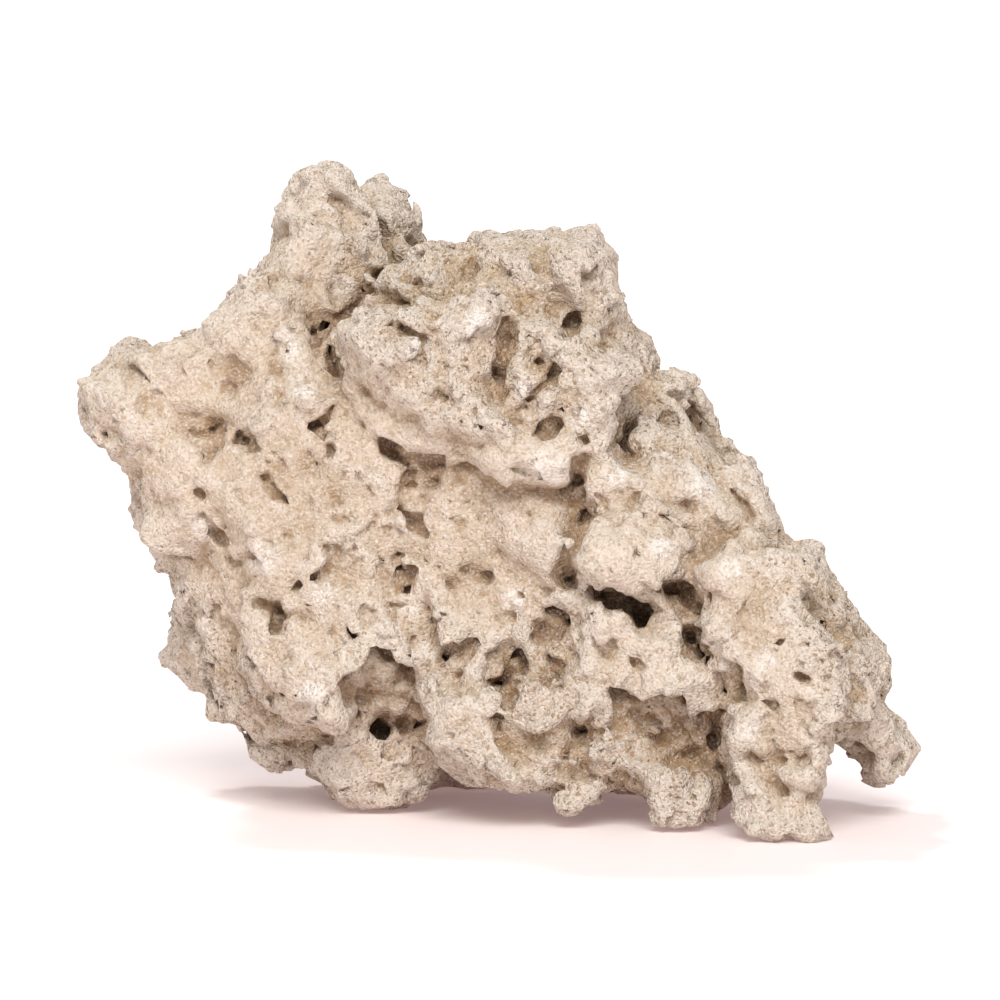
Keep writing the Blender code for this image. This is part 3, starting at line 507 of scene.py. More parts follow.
# Round pits of the front: right, up, radius and depth.
pits = [
    (-36, 91, 1.8, 3.3), (-25.8, 91, 1.4, 3.3), (-12, 91.5, 1.6, 3.3), (-9, 90, 1.4, 2.75),
    (-5.5, 89.5, 1.8, 3.3), (-114, 121.5, 1.4, 2.75), (96.3, 17.6, 2.2, 4.4), (117.6, 17, 1.6, 3.3),
    (104, 40, 1.8, 3.3), (148.4, 27.7, 2.0, 3.3), (21.4, 153.2, 1.6, 4.4), (40, 176, 1.5, 3.3),
    (119, 74, 1.8, 3.3), (-15, 119, 1.3, 2.75), (-10, 139, 1.4, 2.75), (-60, 112, 1.4, 2.75),
    (-66, 100, 1.5, 2.75), (54, 97, 1.4, 2.75), (2, 74, 1.5, 3.3), (40, 62, 1.4, 2.75),
    (52, 56, 1.3, 2.75), (100, 88, 1.4, 2.75), (-104, 162, 1.6, 2.75), (-70, 226, 1.8, 3.3),
    (-46, 214, 1.8, 3.85), (-40, 205, 1.6, 3.3), (16, 205, 1.6, 3.3), (-10, 206, 1.8, 3.3),
    (84, 142, 1.6, 2.75), (138, 66, 1.6, 3.3), (-22, 158, 1.3, 2.75), (30, 141, 1.3, 2.75),
]

# Roughness of the front: middle, radius and amount. Elsewhere it is 1.
roughPlaces = [
    (-96, 118, 20, 0.35), (-118, 136, 14, 0.45), (-120, 164, 16, 0.4), (-96, 176, 12, 0.4),
    (-76, 180, 14, 0.5), (-86, 90, 14, 0.6), (-48, 96, 12, 0.4), (106, 44, 16, 0.45),
    (-74, 150, 12, 0.5), (-72, 215, 12, 0.6), (-52, 162, 9, 0.2), (-40, 150, 10, 0.2),
    (-22, 139, 10, 0.2), (0, 134, 10, 0.25), (18, 129, 10, 0.3), (-40, 104, 18, 0.6),
    (-66, 120, 18, 0.6), (92, 84, 16, 0.35), (96, 66, 14, 0.35), (92, 100, 12, 0.5), (76, 122, 14, 0.6),
    (-74, 58, 20, 0.5), (46, 100, 18, 0.55), (50, 62, 16, 0.5), (-14, 36, 12, 0.5), (-8, 80, 16, 0.6),
    (106, 12, 16, 0.5), (12, 204, 20, 1.7), (-44, 214, 16, 1.8), (-20, 160, 16, 1.1),
    (34, 200, 12, 0.8), (44, 168, 10, 0.9), (14, 172, 12, 1.4), (66, 150, 14, 1.5),
    (86, 134, 10, 1.3), (132, 74, 14, 1.6), (-34, 196, 14, 1.8), (140, 50, 12, 1.4), (110, 96, 10, 1.5),
    (26, 24, 20, 1.1), (-104, 60, 12, 1.2),
]


def amounts(right, up, places, base):
    # the amount at each place of the front: the base, except near the places of the list
    total = np.full(right.shape, base * 0.25, np.float32)
    weight = np.full(right.shape, 0.25, np.float32)
    for u, v, radius, amount in places:
        w = np.exp(-((right - u) ** 2 + (up - v) ** 2) / radius**2).astype(np.float32)
        total += w * amount
        weight += w
    return total / weight


# How the surface is broken up: spacing, height and seed of each layer, for the facets spacing,
# tilt, height and seed.
texture = {
    "waves": [(22.0, 1.3, 21), (11.0, 0.7, 22)],
    "terraces": [(24.0, 1.8, 27), (12.0, 1.0, 28)],
    "facets": [(17.0, 0.20, 0.5, 71), (8.0, 0.24, 0.3, 72), (4.0, 0.30, 0.22, 73)],
    "ridges": [(6.5, 0.6, 23), (3.4, 0.4, 24)],
    "crumbs": [(4.6, 0.4, 26), (2.5, 0.5, 25)],
    "grit": (1.7, 0.3, 34),
    "ragged": [(7.0, 1.3, 31), (2.8, 1.1, 32)],
    "facetSkin": 3.5,                     # how deep the flats reach
    "facetMost": 2.5,                     # the most that a flat rises or sinks
    "bed": (0.72, -0.2, -0.66),           # the way across the beds
    "bladeShare": 0.33,                   # less stone around a place than this is a blade
    "bladePush": 13.0,
    "edgeRounding": 0.3,
    "floorRounding": 1.2,
    "underside": (9.0, 1.5, 0.6, 33),     # spacing, height, least height and seed of the feet's lumps
}

# The map of the front: where it starts and ends, right and up, and the edge of its squares.
frontMap = {"start": (-180.0, -20.0), "end": (176.0, 262.0), "cell": 1.0}


def mapLines():
    return [np.arange(frontMap["start"][a], frontMap["end"][a], frontMap["cell"]) for a in (0, 1)]


def readMap(flat, right, up):
    return readFlat(flat, frontMap["start"], frontMap["cell"], right, up)


def carveFront(block, ragged, near):
    cell = 0.5
    depths = frontDepth(block, *mapLines())
    corner = np.array(frontMap["start"]).astype(int)
    around = 3.0                          # how far past the outline the cells are worked out

    def carve(outline, depth, lean, fall, closed, width):
        corners = np.array(outline, float)
        least, most = corners.min(axis=0) - around - width, corners.max(axis=0) + around + width
        a, b = least.astype(int) - corner, most.astype(int) - corner
        seen = depths[max(a[0], 0):b[0] + 1, max(a[1], 0):b[1] + 1]
        seen = seen[seen < 300]
        yLow, yHigh = np.percentile(seen, 3) - 8, np.percentile(seen, 90) + depth + 8
        lean = np.array(lean)
        run = np.abs(lean) * depth + 4
        first, last = onSight(*(least - run), yLow), onSight(*(most + run), yHigh)
        part = block.part((first + last) / 2, (last - first) / 2 + 4)
        x, y, z = block.places(part)
        right, up = seenAt(x, y, z)
        into = np.clip(y - readMap(depths, right, up), -20, 60)
        forward = np.maximum(into, 0)
        start = least - 6
        flat = borderDistance(outline, np.arange(start[0], most[0] + 6, cell),
                              np.arange(start[1], most[1] + 6, cell), closed) - width
        across, upwards = right - lean[0] * forward, up - lean[1] * forward
        edge = readFlat(flat, start, cell, across, upwards) + ragged[part] * near
        middle = corners.mean(axis=0)
        floor = depth + fall[0] * (across - middle[0]) + fall[1] * (upwards - middle[1])
        hollow = smoothMore(edge, into - floor + ragged[part] * 1.2, texture["floorRounding"])
        block.takeOut(part, hollow, texture["edgeRounding"])

    for depth, lean, fall, outline in holes.values():
        carve(outline, depth, lean, fall, True, 0.0)
    for depth, width, lean, line in cracks.values():
        carve(line, depth, lean, (0, 0), False, width / 2)
    for right, up, radius, depth in pits:  # a little longer than high
        carve([(right - 1.1, up + 0.4), (right + 1.1, up - 0.5)], depth, (0.2, 0.4), (0, 0),
              False, radius)


def raiseLumps(block, ragged):
    # moves the front out under each lump's outline, with a short steep border
    depths = frontDepth(block, *mapLines())
    for height, outline in lumps.values():
        corners = np.array(outline, float)
        least, most = corners.min(axis=0) - 8, corners.max(axis=0) + 8
        first, last = onSight(*least, -114), onSight(*most, 90)
        part = block.part((first + last) / 2, np.abs(last - first) / 2 + 6)
        x, y, z = block.places(part)
        right, up = seenAt(x, y, z)
        edge = readMap(borderDistance(outline, *mapLines()), right, up) + ragged[part] * 1.5
        into = y - readMap(depths, right, up)
        inside = np.clip(-edge / 3.0, 0, 1)
        inside = inside * inside * (3 - 2 * inside) * np.clip((30 - into) / 10, 0, 1)
        block.field[part] -= height * inside


# Caves of the back, the ends and the underside: middle, half sizes and tilt.
hiddenCaves = [
    ((-38, 122, 96), (20, 22, 13), (20, 15, 30)),
    ((-52, 118, 88), (12, 18, 9), (0, 40, 0)),
    ((-88, 112, 120), (11, 18, 18), (10, 20, 0)),
    ((22, 106, 128), (18, 20, 10), (-15, -20, 0)),
    ((8, 108, 120), (9, 16, 8), (0, 50, 0)),
    ((36, 100, 64), (20, 20, 12), (20, 25, 0)),
    ((50, 98, 74), (9, 14, 9), (0, 0, 0)),
    ((-20, 108, 44), (14, 17, 9), (0, -25, 0)),
    ((84, 82, 86), (12, 18, 17), (0, 20, 20)),
    ((4, 92, 168), (12, 18, 11), (0, 15, 0)),
    ((-70, 84, 158), (13, 16, 11), (0, -30, 0)),
    ((134, 2, 62), (16, 9, 9), (0, 0, 30)),
    ((-124, 92, 100), (13, 12, 10), (0, 30, 0)),
    ((20, 24, 10), (40, 22, 12), (0, 0, 0)),
    ((-30, 50, 8), (14, 12, 10), (0, 0, 0)),
]


def hollowHidden(block, ragged):
    for middle, sizes, tilt in hiddenCaves:
        part = block.part(middle, [max(sizes) + 8] * 3)
        hollow = ballDistance(*block.places(part), middle, sizes, tilt) + ragged[part] * 2.4
        block.takeOut(part, hollow, 2.0)


# Flat places where stone has split off: count, radius range, how deep at the middle, how far the
# flat leans, seed.
chips = {
    "large": (360, (9.0, 24.0), (0.4, 1.6), 0.04, 61),
    "middling": (900, (4.0, 10.0), (0.3, 0.9), 0.07, 62),
    "small": (2600, (2.0, 4.5), (0.2, 0.6), 0.15, 63),
}


def surfaceCells(block):
    # the cells at the surface, in a fixed order
    field = block.field
    here = (np.abs(field) < 0.7 * step)
    here[0], here[-1] = False, False
    here[:, 0], here[:, -1] = False, False
    here[:, :, 0], here[:, :, -1] = False, False
    return np.argwhere(here)


def outwards(block, cells, reach):
    # the way out of the stone at these cells, over this many cells each way
    slope = []
    for axis in range(3):
        ahead, behind = cells.copy(), cells.copy()
        ahead[:, axis] = np.minimum(ahead[:, axis] + reach, block.shape[axis] - 1)
        behind[:, axis] = np.maximum(behind[:, axis] - reach, 0)
        slope.append(block.field[tuple(ahead.T)] - block.field[tuple(behind.T)])
    slope = np.stack(slope, axis=1)
    return slope / (np.linalg.norm(slope, axis=1, keepdims=True) + 1e-6)


def sideways(normal, spin):
    side = np.cross(normal, (math.cos(spin), 0.3, math.sin(spin)))
    side /= np.linalg.norm(side) + 1e-6
    return side, np.cross(normal, side)


def along(d, way):
    return d[0] * way[0] + d[1] * way[1] + d[2] * way[2]


def chipAway(block, ragged, count, radii, depths, leaning, seed):
    draw = np.random.default_rng(seed)
    cells = surfaceCells(block)
    chosen = cells[draw.choice(len(cells), count, replace=False)]
    normals = outwards(block, chosen, max(1, int(radii[0] / 2 / step)))
    wide = outwards(block, chosen, max(2, int(radii[0] / step)))
    even = (normals * wide).sum(axis=1) > 0.93    # not across a ridge or a crease
    normals += draw.normal(0, leaning, normals.shape)
    normals /= np.linalg.norm(normals, axis=1, keepdims=True)
    share = draw.random(count) ** 2
    spins = draw.random(count) * math.tau
    for cell, normal, size, spin in zip(chosen[even], normals[even], share[even], spins[even]):
        radius = radii[0] + (radii[1] - radii[0]) * size
        depth = depths[0] + (depths[1] - depths[0]) * size
        middle = low + step * cell
        if radii[0] > 3 and block.rough[tuple(cell)] < 0.85 and normal[1] < 0.2:
            continue                          # the calm places of the front keep their drawn forms
        side, other = sideways(normal, spin)
        part = block.part(middle, [radius + 3] * 3)
        x, y, z = block.places(part)
        d = (x - middle[0], y - middle[1], z - middle[2])
        out = along(d, normal)
        lateral = np.hypot(along(d, side), along(d, other) * 1.5) - radius + ragged[part]
        gone = np.maximum(np.maximum(-(out + depth), out - 4.0), lateral)
        block.takeOut(part, gone, 0.3)


# Small hollows that are scattered over the surface: count, half size range, how deep for their
# width, seed, and whether the front, which has its own holes, goes without.
scatter = {
    "pores": (260, (3.0, 8.0), 1.3, 51, True),
    "smallPores": (900, (1.6, 3.4), 1.2, 52, True),
    "pinholes": (2000, (1.1, 2.0), 0.9, 53, False),
}


def scatterPores(block, ragged, hiddenOnly, count, sizes, deep, seed):
    cells = surfaceCells(block)
    draw = np.random.default_rng(seed)
    chosen = cells[draw.choice(len(cells), count * 4, replace=False)]
    cluster = block.cluster[tuple(chosen.T)]
    chosen = chosen[(cluster + draw.normal(0, 0.6, len(chosen))) > 0.2][:count]
    slope = outwards(block, chosen, 2)
    facing = outwards(block, chosen, 12)
    places = low + step * chosen
    radii = sizes[0] + (sizes[1] - sizes[0]) * draw.random(len(chosen)) ** 2.2
    stretch = 1 + 0.9 * draw.random(len(chosen))
    spins = draw.random(len(chosen)) * math.tau
    for place, normal, ahead, radius, longer, spin in zip(
            places, slope, facing[:, 1], radii, stretch, spins):
        # the front is drawn hole by hole, so only the pinholes fall on it
        if hiddenOnly and ahead < 0.1 + 0.3 * math.sin(spin):
            continue
        side, other = sideways(normal, spin)
        middle = place - normal * radius * 0.35
        reach = radius * max(longer, deep) + 3
        part = block.part(middle, [reach] * 3)
        x, y, z = block.places(part)
        d = (x - middle[0], y - middle[1], z - middle[2])
        q = [along(d, way) / size for way, size in
             ((normal, radius * deep), (side, radius * longer), (other, radius * 0.8))]
        size = np.sqrt(q[0] ** 2 + q[1] ** 2 + q[2] ** 2)
        hollow = (size - 1) * radius + ragged[part] * min(0.9, radius * 0.22)
        block.takeOut(part, hollow, texture["edgeRounding"])


def faceted(block, ragged, spacing, tilt, height, seed):
    # breaks the skin into angular chunks: each place takes the tilted flat of its nearest point
    draw = np.random.default_rng(seed)
    counts = np.ceil((high - low) / spacing).astype(int) + 3
    total = int(counts.prod())
    middles = draw.random((total, 3), np.float32)
    tilts = draw.normal(0, tilt, (total, 3)).astype(np.float32)
    levels = draw.normal(0, height, total).astype(np.float32)
    every = np.flatnonzero(np.abs(block.field) < texture["facetSkin"])
    field, bends, rough = block.field.ravel(), ragged.ravel(), block.rough.ravel()
    bed = np.array(texture["bed"], np.float32)
    most = texture["facetMost"]
    for some in np.array_split(every, max(1, len(every) // 300000)):
        cells = np.stack(np.unravel_index(some, block.shape), axis=1)
        places = (cells * (step / spacing)).astype(np.float32)
        places += bends[some, None] * np.array((0.8, 0.5, -0.8), np.float32) / spacing
        home = np.floor(places).astype(np.int32)
        nearest = np.full(len(some), 9.0, np.float32)
        rise = np.zeros(len(some), np.float32)
        for a in (0, 1, 2):
            for b in (0, 1, 2):
                for c in (0, 1, 2):
                    other = home + np.array((a, b, c), np.int32)
                    number = np.ravel_multi_index(tuple(other.T), tuple(counts), mode="clip")
                    d = places - (other - 1) - middles[number]
                    away = (d * d).sum(axis=1) - 0.45 * (d @ bed) ** 2
                    closer = away < nearest
                    nearest[closer] = away[closer]
                    chosen = number[closer]
                    rise[closer] = levels[chosen] + spacing * (tilts[chosen] * d[closer]).sum(axis=1)
        field[some] -= np.clip(rise, -most, most) * np.clip(1.15 * rough[some] - 0.1, 0, 1.0)


def ridges(field):
    # sharp crests over round hollows; less of it gives round crumbs between sharp creases
    return 1.0 - 1.25 * np.abs(field)


def terraces(field):
    # turns a smooth field into flats with short steep steps between them
    level = np.floor(field)
    rise = np.clip((field - level - 0.42) / 0.16, 0, 1)
    return level + rise * rise * (3 - 2 * rise)


def roughField(block):
    # how rough the stone is at each cell: listed for the front, by chance elsewhere
    spacing = 6.0
    counts = block.latticeShape(spacing)
    x, y, z = np.meshgrid(*[low[a] + spacing * (np.arange(counts[a]) - 2) for a in range(3)],
                          indexing="ij")
    right, up = seenAt(x, y, z)
    front = np.clip((60.0 - y) / 40.0, 0, 1)
    rough = block.spread(1.0 + front * (amounts(right, up, roughPlaces, 1.0) - 1.0), spacing)
    return np.maximum(rough + 0.15 * block.grain(26.0, 42), 0.25)


def runningMean(values, width, axis, kind):
    # the mean over this odd number of cells along one axis
    padding = [(0, 0)] * 3
    padding[axis] = (width // 2 + 1, width // 2)
    total = np.cumsum(np.pad(values, padding, mode="edge"), axis=axis, dtype=kind)
    ahead = np.take(total, range(width, total.shape[axis]), axis=axis)
    behind = np.take(total, range(total.shape[axis] - width), axis=axis)
    return (ahead - behind) / width


def nearStone(block):
    # how much of the cells around is stone: about a half on a flat, least on blades
    share = np.clip(0.5 - block.field / step, 0, 1)
    for axis in range(3):
        share = runningMean(share, 5, axis, np.float32)
    return share


def shapeRock():
    block = Block()
    report("cells", block.shape)
    mainForm(block)
    report("main form")
    ragged = sum(height * block.grain(spacing, seed) for spacing, height, seed in texture["ragged"])
    block.cluster = block.grain(16.0, 41)
    raiseLumps(block, ragged)
    block.rough = roughField(block)
    for spacing, height, seed in texture["waves"]:
        block.field -= height * (0.35 + 0.65 * block.rough) * ridges(block.grain(spacing, seed))
    for spacing, height, seed in texture["terraces"]:
        block.field -= height * terraces(block.beds(spacing, seed)) * (0.4 + 0.6 * block.rough)
    for layer in texture["facets"]:
        faceted(block, ragged, *layer)
    report("facets")
    for chip in chips.values():
        chipAway(block, ragged, *chip)
    report("lumps, steps and chips")
    hollowHidden(block, ragged)
    carveFront(block, ragged, 1.1)
    report("front holes")
    for count, sizes, deep, seed, hiddenOnly in scatter.values():
        scatterPores(block, ragged, hiddenOnly, count, sizes, deep, seed)
    report("pores")
    for spacing, height, seed in texture["ridges"]:
        block.field -= height * block.rough * ridges(block.grain(spacing, seed))
    for spacing, height, seed in texture["crumbs"]:
        block.field += height * block.rough * ridges(block.grain(spacing, seed))
    spacing, height, seed = texture["grit"]
    block.field += height * block.grain(spacing, seed) * (0.4 + 0.6 * block.rough)
    for _ in range(2):                    # takes thin blades off
        block.field += texture["bladePush"] * np.maximum(texture["bladeShare"] - nearStone(block), 0)
    report("grit")
    spacing, height, least, seed = texture["underside"]
    underside = least + height * block.grain(spacing, seed)[:, :, :1]
    upwards = block.axes[2][None, None, :]
    block.field = smoothMore(block.field, underside - 0.3 * ragged - upwards, 1.5)
    block.field = np.maximum(block.field, -upwards)
    return block


def meshFrom(block):
    # the skin of the largest connected body
    volume = openvdb.FloatGrid(background=30.0)
    volume.copyFromArray(block.field)
    points, quads = volume.convertToQuads(isovalue=0.0)
    points = points * step + low
    report("skin", len(points), len(quads))
    label = np.arange(len(points))
    edges = np.concatenate([quads[:, [0, 1]], quads[:, [1, 2]], quads[:, [2, 3]], quads[:, [3, 0]]])
    while True:                            # every point takes the least number that it is joined to
        least = label.copy()
        np.minimum.at(least, edges[:, 0], label[edges[:, 1]])
        np.minimum.at(least, edges[:, 1], label[edges[:, 0]])
        least = least[least]
        if (least == label).all():
            break
        label = least
    body = np.bincount(label).argmax()
    kept = label == body
    number = np.cumsum(kept) - 1
    quads = number[quads[kept[quads[:, 0]]]]
    return points[kept], quads[:, ::-1]


def newMesh(name, points, faces):
    mesh = bpy.data.meshes.new(name)
    size = faces.shape[1]
    mesh.vertices.add(len(points))
    mesh.loops.add(faces.size)
    mesh.polygons.add(len(faces))
    mesh.vertices.foreach_set("co", points.astype(np.float32).ravel())
    mesh.loops.foreach_set("vertex_index", faces.astype(np.int32).ravel())
    mesh.polygons.foreach_set("loop_start", np.arange(0, faces.size, size, dtype=np.int32))
    mesh.update(calc_edges=True)
    return mesh


def thinOut(mesh, share, hiddenOnly):
    # this share of the faces is kept
    piece = bpy.data.objects.new("thinning", mesh)
    bpy.context.scene.collection.objects.link(piece)
    modifier = piece.modifiers.new("fewer faces", "DECIMATE")
    modifier.ratio = share
    modifier.use_collapse_triangulate = True
    if hiddenOnly:
        # the front keeps all that it has, so that its holes and grit stay sharp
        normals = np.empty(len(mesh.vertices) * 3, np.float32)
        mesh.vertices.foreach_get("normal", normals)
        hidden = np.flatnonzero(normals.reshape(-1, 3)[:, 1] > -0.1)
        group = piece.vertex_groups.new(name="hidden")
        group.add(hidden.tolist(), 1.0, "REPLACE")
        modifier.vertex_group = group.name
    graph = bpy.context.evaluated_depsgraph_get()
    thin = bpy.data.meshes.new_from_object(piece.evaluated_get(graph))
    bpy.data.objects.remove(piece)
    bpy.data.meshes.remove(mesh)
    return thin


def blurred(values, spread):
    width = 2 * max(1, int(round(spread))) + 1
    for axis in range(3):
        for _ in range(3):
            values = runningMean(values, width, axis, np.float64).astype(np.float32)
    return values


def readBlock(values, cell, points):
    place = (points - low) / cell
    place = [np.clip(place[:, a], 0, values.shape[a] - 1.001) for a in range(3)]
    i = [p.astype(int) for p in place]
    f = [p - n for p, n in zip(place, i)]
    out = 0
    for a in (0, 1):
        for b in (0, 1):
            for c in (0, 1):
                weight = 1.0
                for share, ahead in zip(f, (a, b, c)):
                    weight = weight * (share if ahead else 1 - share)
                out = out + values[i[0] + a, i[1] + b, i[2] + c] * weight
    return out


def hollowness(block, points):
    # how far each point lies in a hollow, seen at three widths: 0 on a spike, 1 in a pit
    solid = np.clip(0.5 - block.field / step, 0, 1)[::2, ::2, ::2]
    cell = 2 * step
    return [np.clip(readBlock(blurred(solid, width / cell), cell, points), 0, 1)
            for width in (2.0, 6.0, 14.0)]


# Patches of white chalk on the front: right, up and radius.
chalkPlaces = [
    (78, 125, 6), (68, 116, 5), (16, 132, 7), (24, 130, 5), (-80, 178, 7), (-74, 163, 6),
    (-30, 175, 7), (-34, 80, 6), (5, 82, 5), (62, 100, 5), (102, 56, 5), (-66, 84, 6),
    (-90, 98, 7), (-112, 110, 6), (96, 30, 5), (-8, 186, 6), (8, 160, 5), (-60, 200, 6),
    (30, 150, 5), (88, 92, 5), (-72, 46, 6), (-26, 64, 5), (44, 128, 5),
]


# Patches of the front that are darker and sandier, in the same way: partly darker sandy stone, partly
# painted shade, most of all on the lower wall, which faces down.
sandyAndShadedPlaces = [
    (10, 28, 16), (36, 24, 16), (56, 16, 12), (66, 20, 12), (-10, 20, 10), (-40, 46, 12), (6, 50, 8),
    (20, 70, 8), (60, 28, 14), (-96, 40, 14), (-108, 56, 12), (-80, 30, 12), (-30, 120, 10),
    (28, 112, 9), (-40, 202, 10), (-20, 200, 8), (-50, 214, 7), (2, 176, 6), (16, 206, 8),
    (138, 62, 10), (132, 78, 8), (144, 40, 8), (88, 40, 8), (-86, 126, 7), (-108, 148, 8),
    (-70, 134, 8), (-88, 84, 8), (66, 82, 8), (-20, 128, 8),
]


def spots(places, right, up, y):
    # how much each point lies in these patches of the front
    total = np.zeros(len(right))
    for u, v, radius in places:
        total += np.exp(-((right - u) ** 2 + (up - v) ** 2) / radius**2)
    return total * np.clip((40 - y) / 30, 0, 1)


def writeValues(mesh, values):
    # values at the points, which the material reads
    for name, value in values.items():
        layer = mesh.attributes.new(name, "FLOAT", "POINT")
        layer.data.foreach_set("value", np.asarray(value, np.float32))


def makeRock():
    block = shapeRock()
    points, quads = meshFrom(block)
    shift = np.array(drawing["shift"])
    mesh = newMesh("reef_limestone", (points + shift) * 0.001, quads)
    mesh = thinOut(mesh, drawing["firstFaces"] / (2 * len(mesh.polygons)), False)
    mesh = thinOut(mesh, drawing["faces"] / len(mesh.polygons), True)
    report("triangles", len(mesh.polygons))
    places = np.empty(len(mesh.vertices) * 3, np.float32)
    mesh.vertices.foreach_get("co", places)
    places = places.reshape(-1, 3) * 1000 - shift
    fine, middle, wide = hollowness(block, places)
    right, up = seenAt(*places.T)
    rough = readBlock(block.rough.astype(np.float32), step, places)
    writeValues(mesh, {
        "fineHollow": fine, "hollow": middle, "wideHollow": wide, "crumbly": rough,
        "chalk": spots(chalkPlaces, right, up, places[:, 1]),
        "sandyAndShade": spots(sandyAndShadedPlaces, right, up, places[:, 1])})
    mesh.shade_smooth()
    rock = bpy.data.objects.new("reef_limestone", mesh)
    bpy.context.scene.collection.objects.link(rock)
    report("surface values")
    return rock


class Wire:
    # one output of a shader node, which can be used in sums
    def __init__(self, bench, socket):
        self.bench = bench
        self.socket = socket

    def sum(self, operation, first, second):
        return self.bench.node("ShaderNodeMath", {"operation": operation}, {0: first, 1: second})

    def __add__(self, other):
        return self.sum("ADD", self, other)

    def __radd__(self, other):
        return self.sum("ADD", other, self)

    def __sub__(self, other):
        return self.sum("SUBTRACT", self, other)

    def __rsub__(self, other):
        return self.sum("SUBTRACT", other, self)

    def __mul__(self, other):
        return self.sum("MULTIPLY", self, other)

    def __rmul__(self, other):
        return self.sum("MULTIPLY", other, self)

    def least(self, other):
        return self.sum("MINIMUM", self, other)

    def most(self, other):
        return self.sum("MAXIMUM", self, other)

    def ramp(self, start, end, low=0.0, high=1.0):
        # rises smoothly from low to high while the value goes from start to end
        return self.bench.node("ShaderNodeMapRange", {"interpolation_type": "SMOOTHSTEP"}, {
            "Value": self, "From Min": start, "From Max": end, "To Min": low, "To Max": high})


class Bench:
    # where a material's nodes are put together
    def __init__(self, name):
        self.material = bpy.data.materials.new(name)
        self.material.use_nodes = True
        self.tree = self.material.node_tree
        self.shader = self.tree.nodes["Principled BSDF"]

    def node(self, kind, settings=None, sockets=None, output=0):
        made = self.tree.nodes.new(kind)
        for name, value in (settings or {}).items():
            setattr(made, name, value)
        for name, value in (sockets or {}).items():
            self.fill(made.inputs[name], value)
        return Wire(self, made.outputs[output])

    def fill(self, socket, value):
        if isinstance(value, Wire):
            self.tree.links.new(value.socket, socket)
        else:
            socket.default_value = value

    def blend(self, first, second, share):
        # a colour between two colours
        made = self.tree.nodes.new("ShaderNodeMix")
        made.data_type = "RGBA"
        self.fill(made.inputs[0], share)
        self.fill(made.inputs[6], first)
        self.fill(made.inputs[7], second)
        return Wire(self, made.outputs[2])

    def value(self, name):
        return self.node("ShaderNodeAttribute", {"attribute_name": name}, output=2)

    def cloud(self, place, scale, detail=3.0, roughness=0.55):
        return self.node("ShaderNodeTexNoise", {}, {
            "Vector": place, "Scale": scale, "Detail": detail, "Roughness": roughness})

    def grainCells(self, place, scale):
        # how far each place is from its grain's middle, and that grain's own shade
        space = self.node("ShaderNodeTexVoronoi", {}, {"Vector": place, "Scale": scale})
        return space, Wire(self, space.socket.node.outputs["Color"])

    def finish(self, **sockets):
        for name, value in sockets.items():
            self.fill(self.shader.inputs[name.replace("_", " ")], value)
        return self.material


# Colours of the stone, and scales in turns for each metre.
stone = {
    "cream": (0.610, 0.500, 0.395, 1),
    "sand": (0.510, 0.395, 0.290, 1),
    "chalk": (0.860, 0.800, 0.745, 1),
    "ochre": (0.560, 0.400, 0.235, 1),
    "tan": (0.335, 0.205, 0.098, 1),
    # painted shade deep inside the hollows
    "umberShade": (0.125, 0.055, 0.020, 1),
    "speck": (0.260, 0.140, 0.065, 1),
    "roughness": 0.95,
    "specular": 0.2,
    "broad": 22.0,
    "patches": 75.0,
    "mottles": 210.0,
    "grainBends": 900.0,
    "grainBend": 0.0006,                  # how far the grains are pulled out of shape, in metres
    "sandGrains": 640.0,
    "dustGrains": 1100.0,
    "reliefDepth": 0.001,
}

# How much of each colour shows where it shows most.
shares = {
    "sand": 0.5, "ochre": 0.7, "mottledOchre": 0.45, "tanPatchesAndShade": 0.30, "chalkRidgesAndHighlight": 0.36,
    "chalkPatches": 0.65, "tanHollowsAndShade": 0.60, "umberDeepShade": 0.66, "paleSand": 0.14, "tanDust": 0.36,
    "paleDust": 0.34, "specks": 0.7,
}


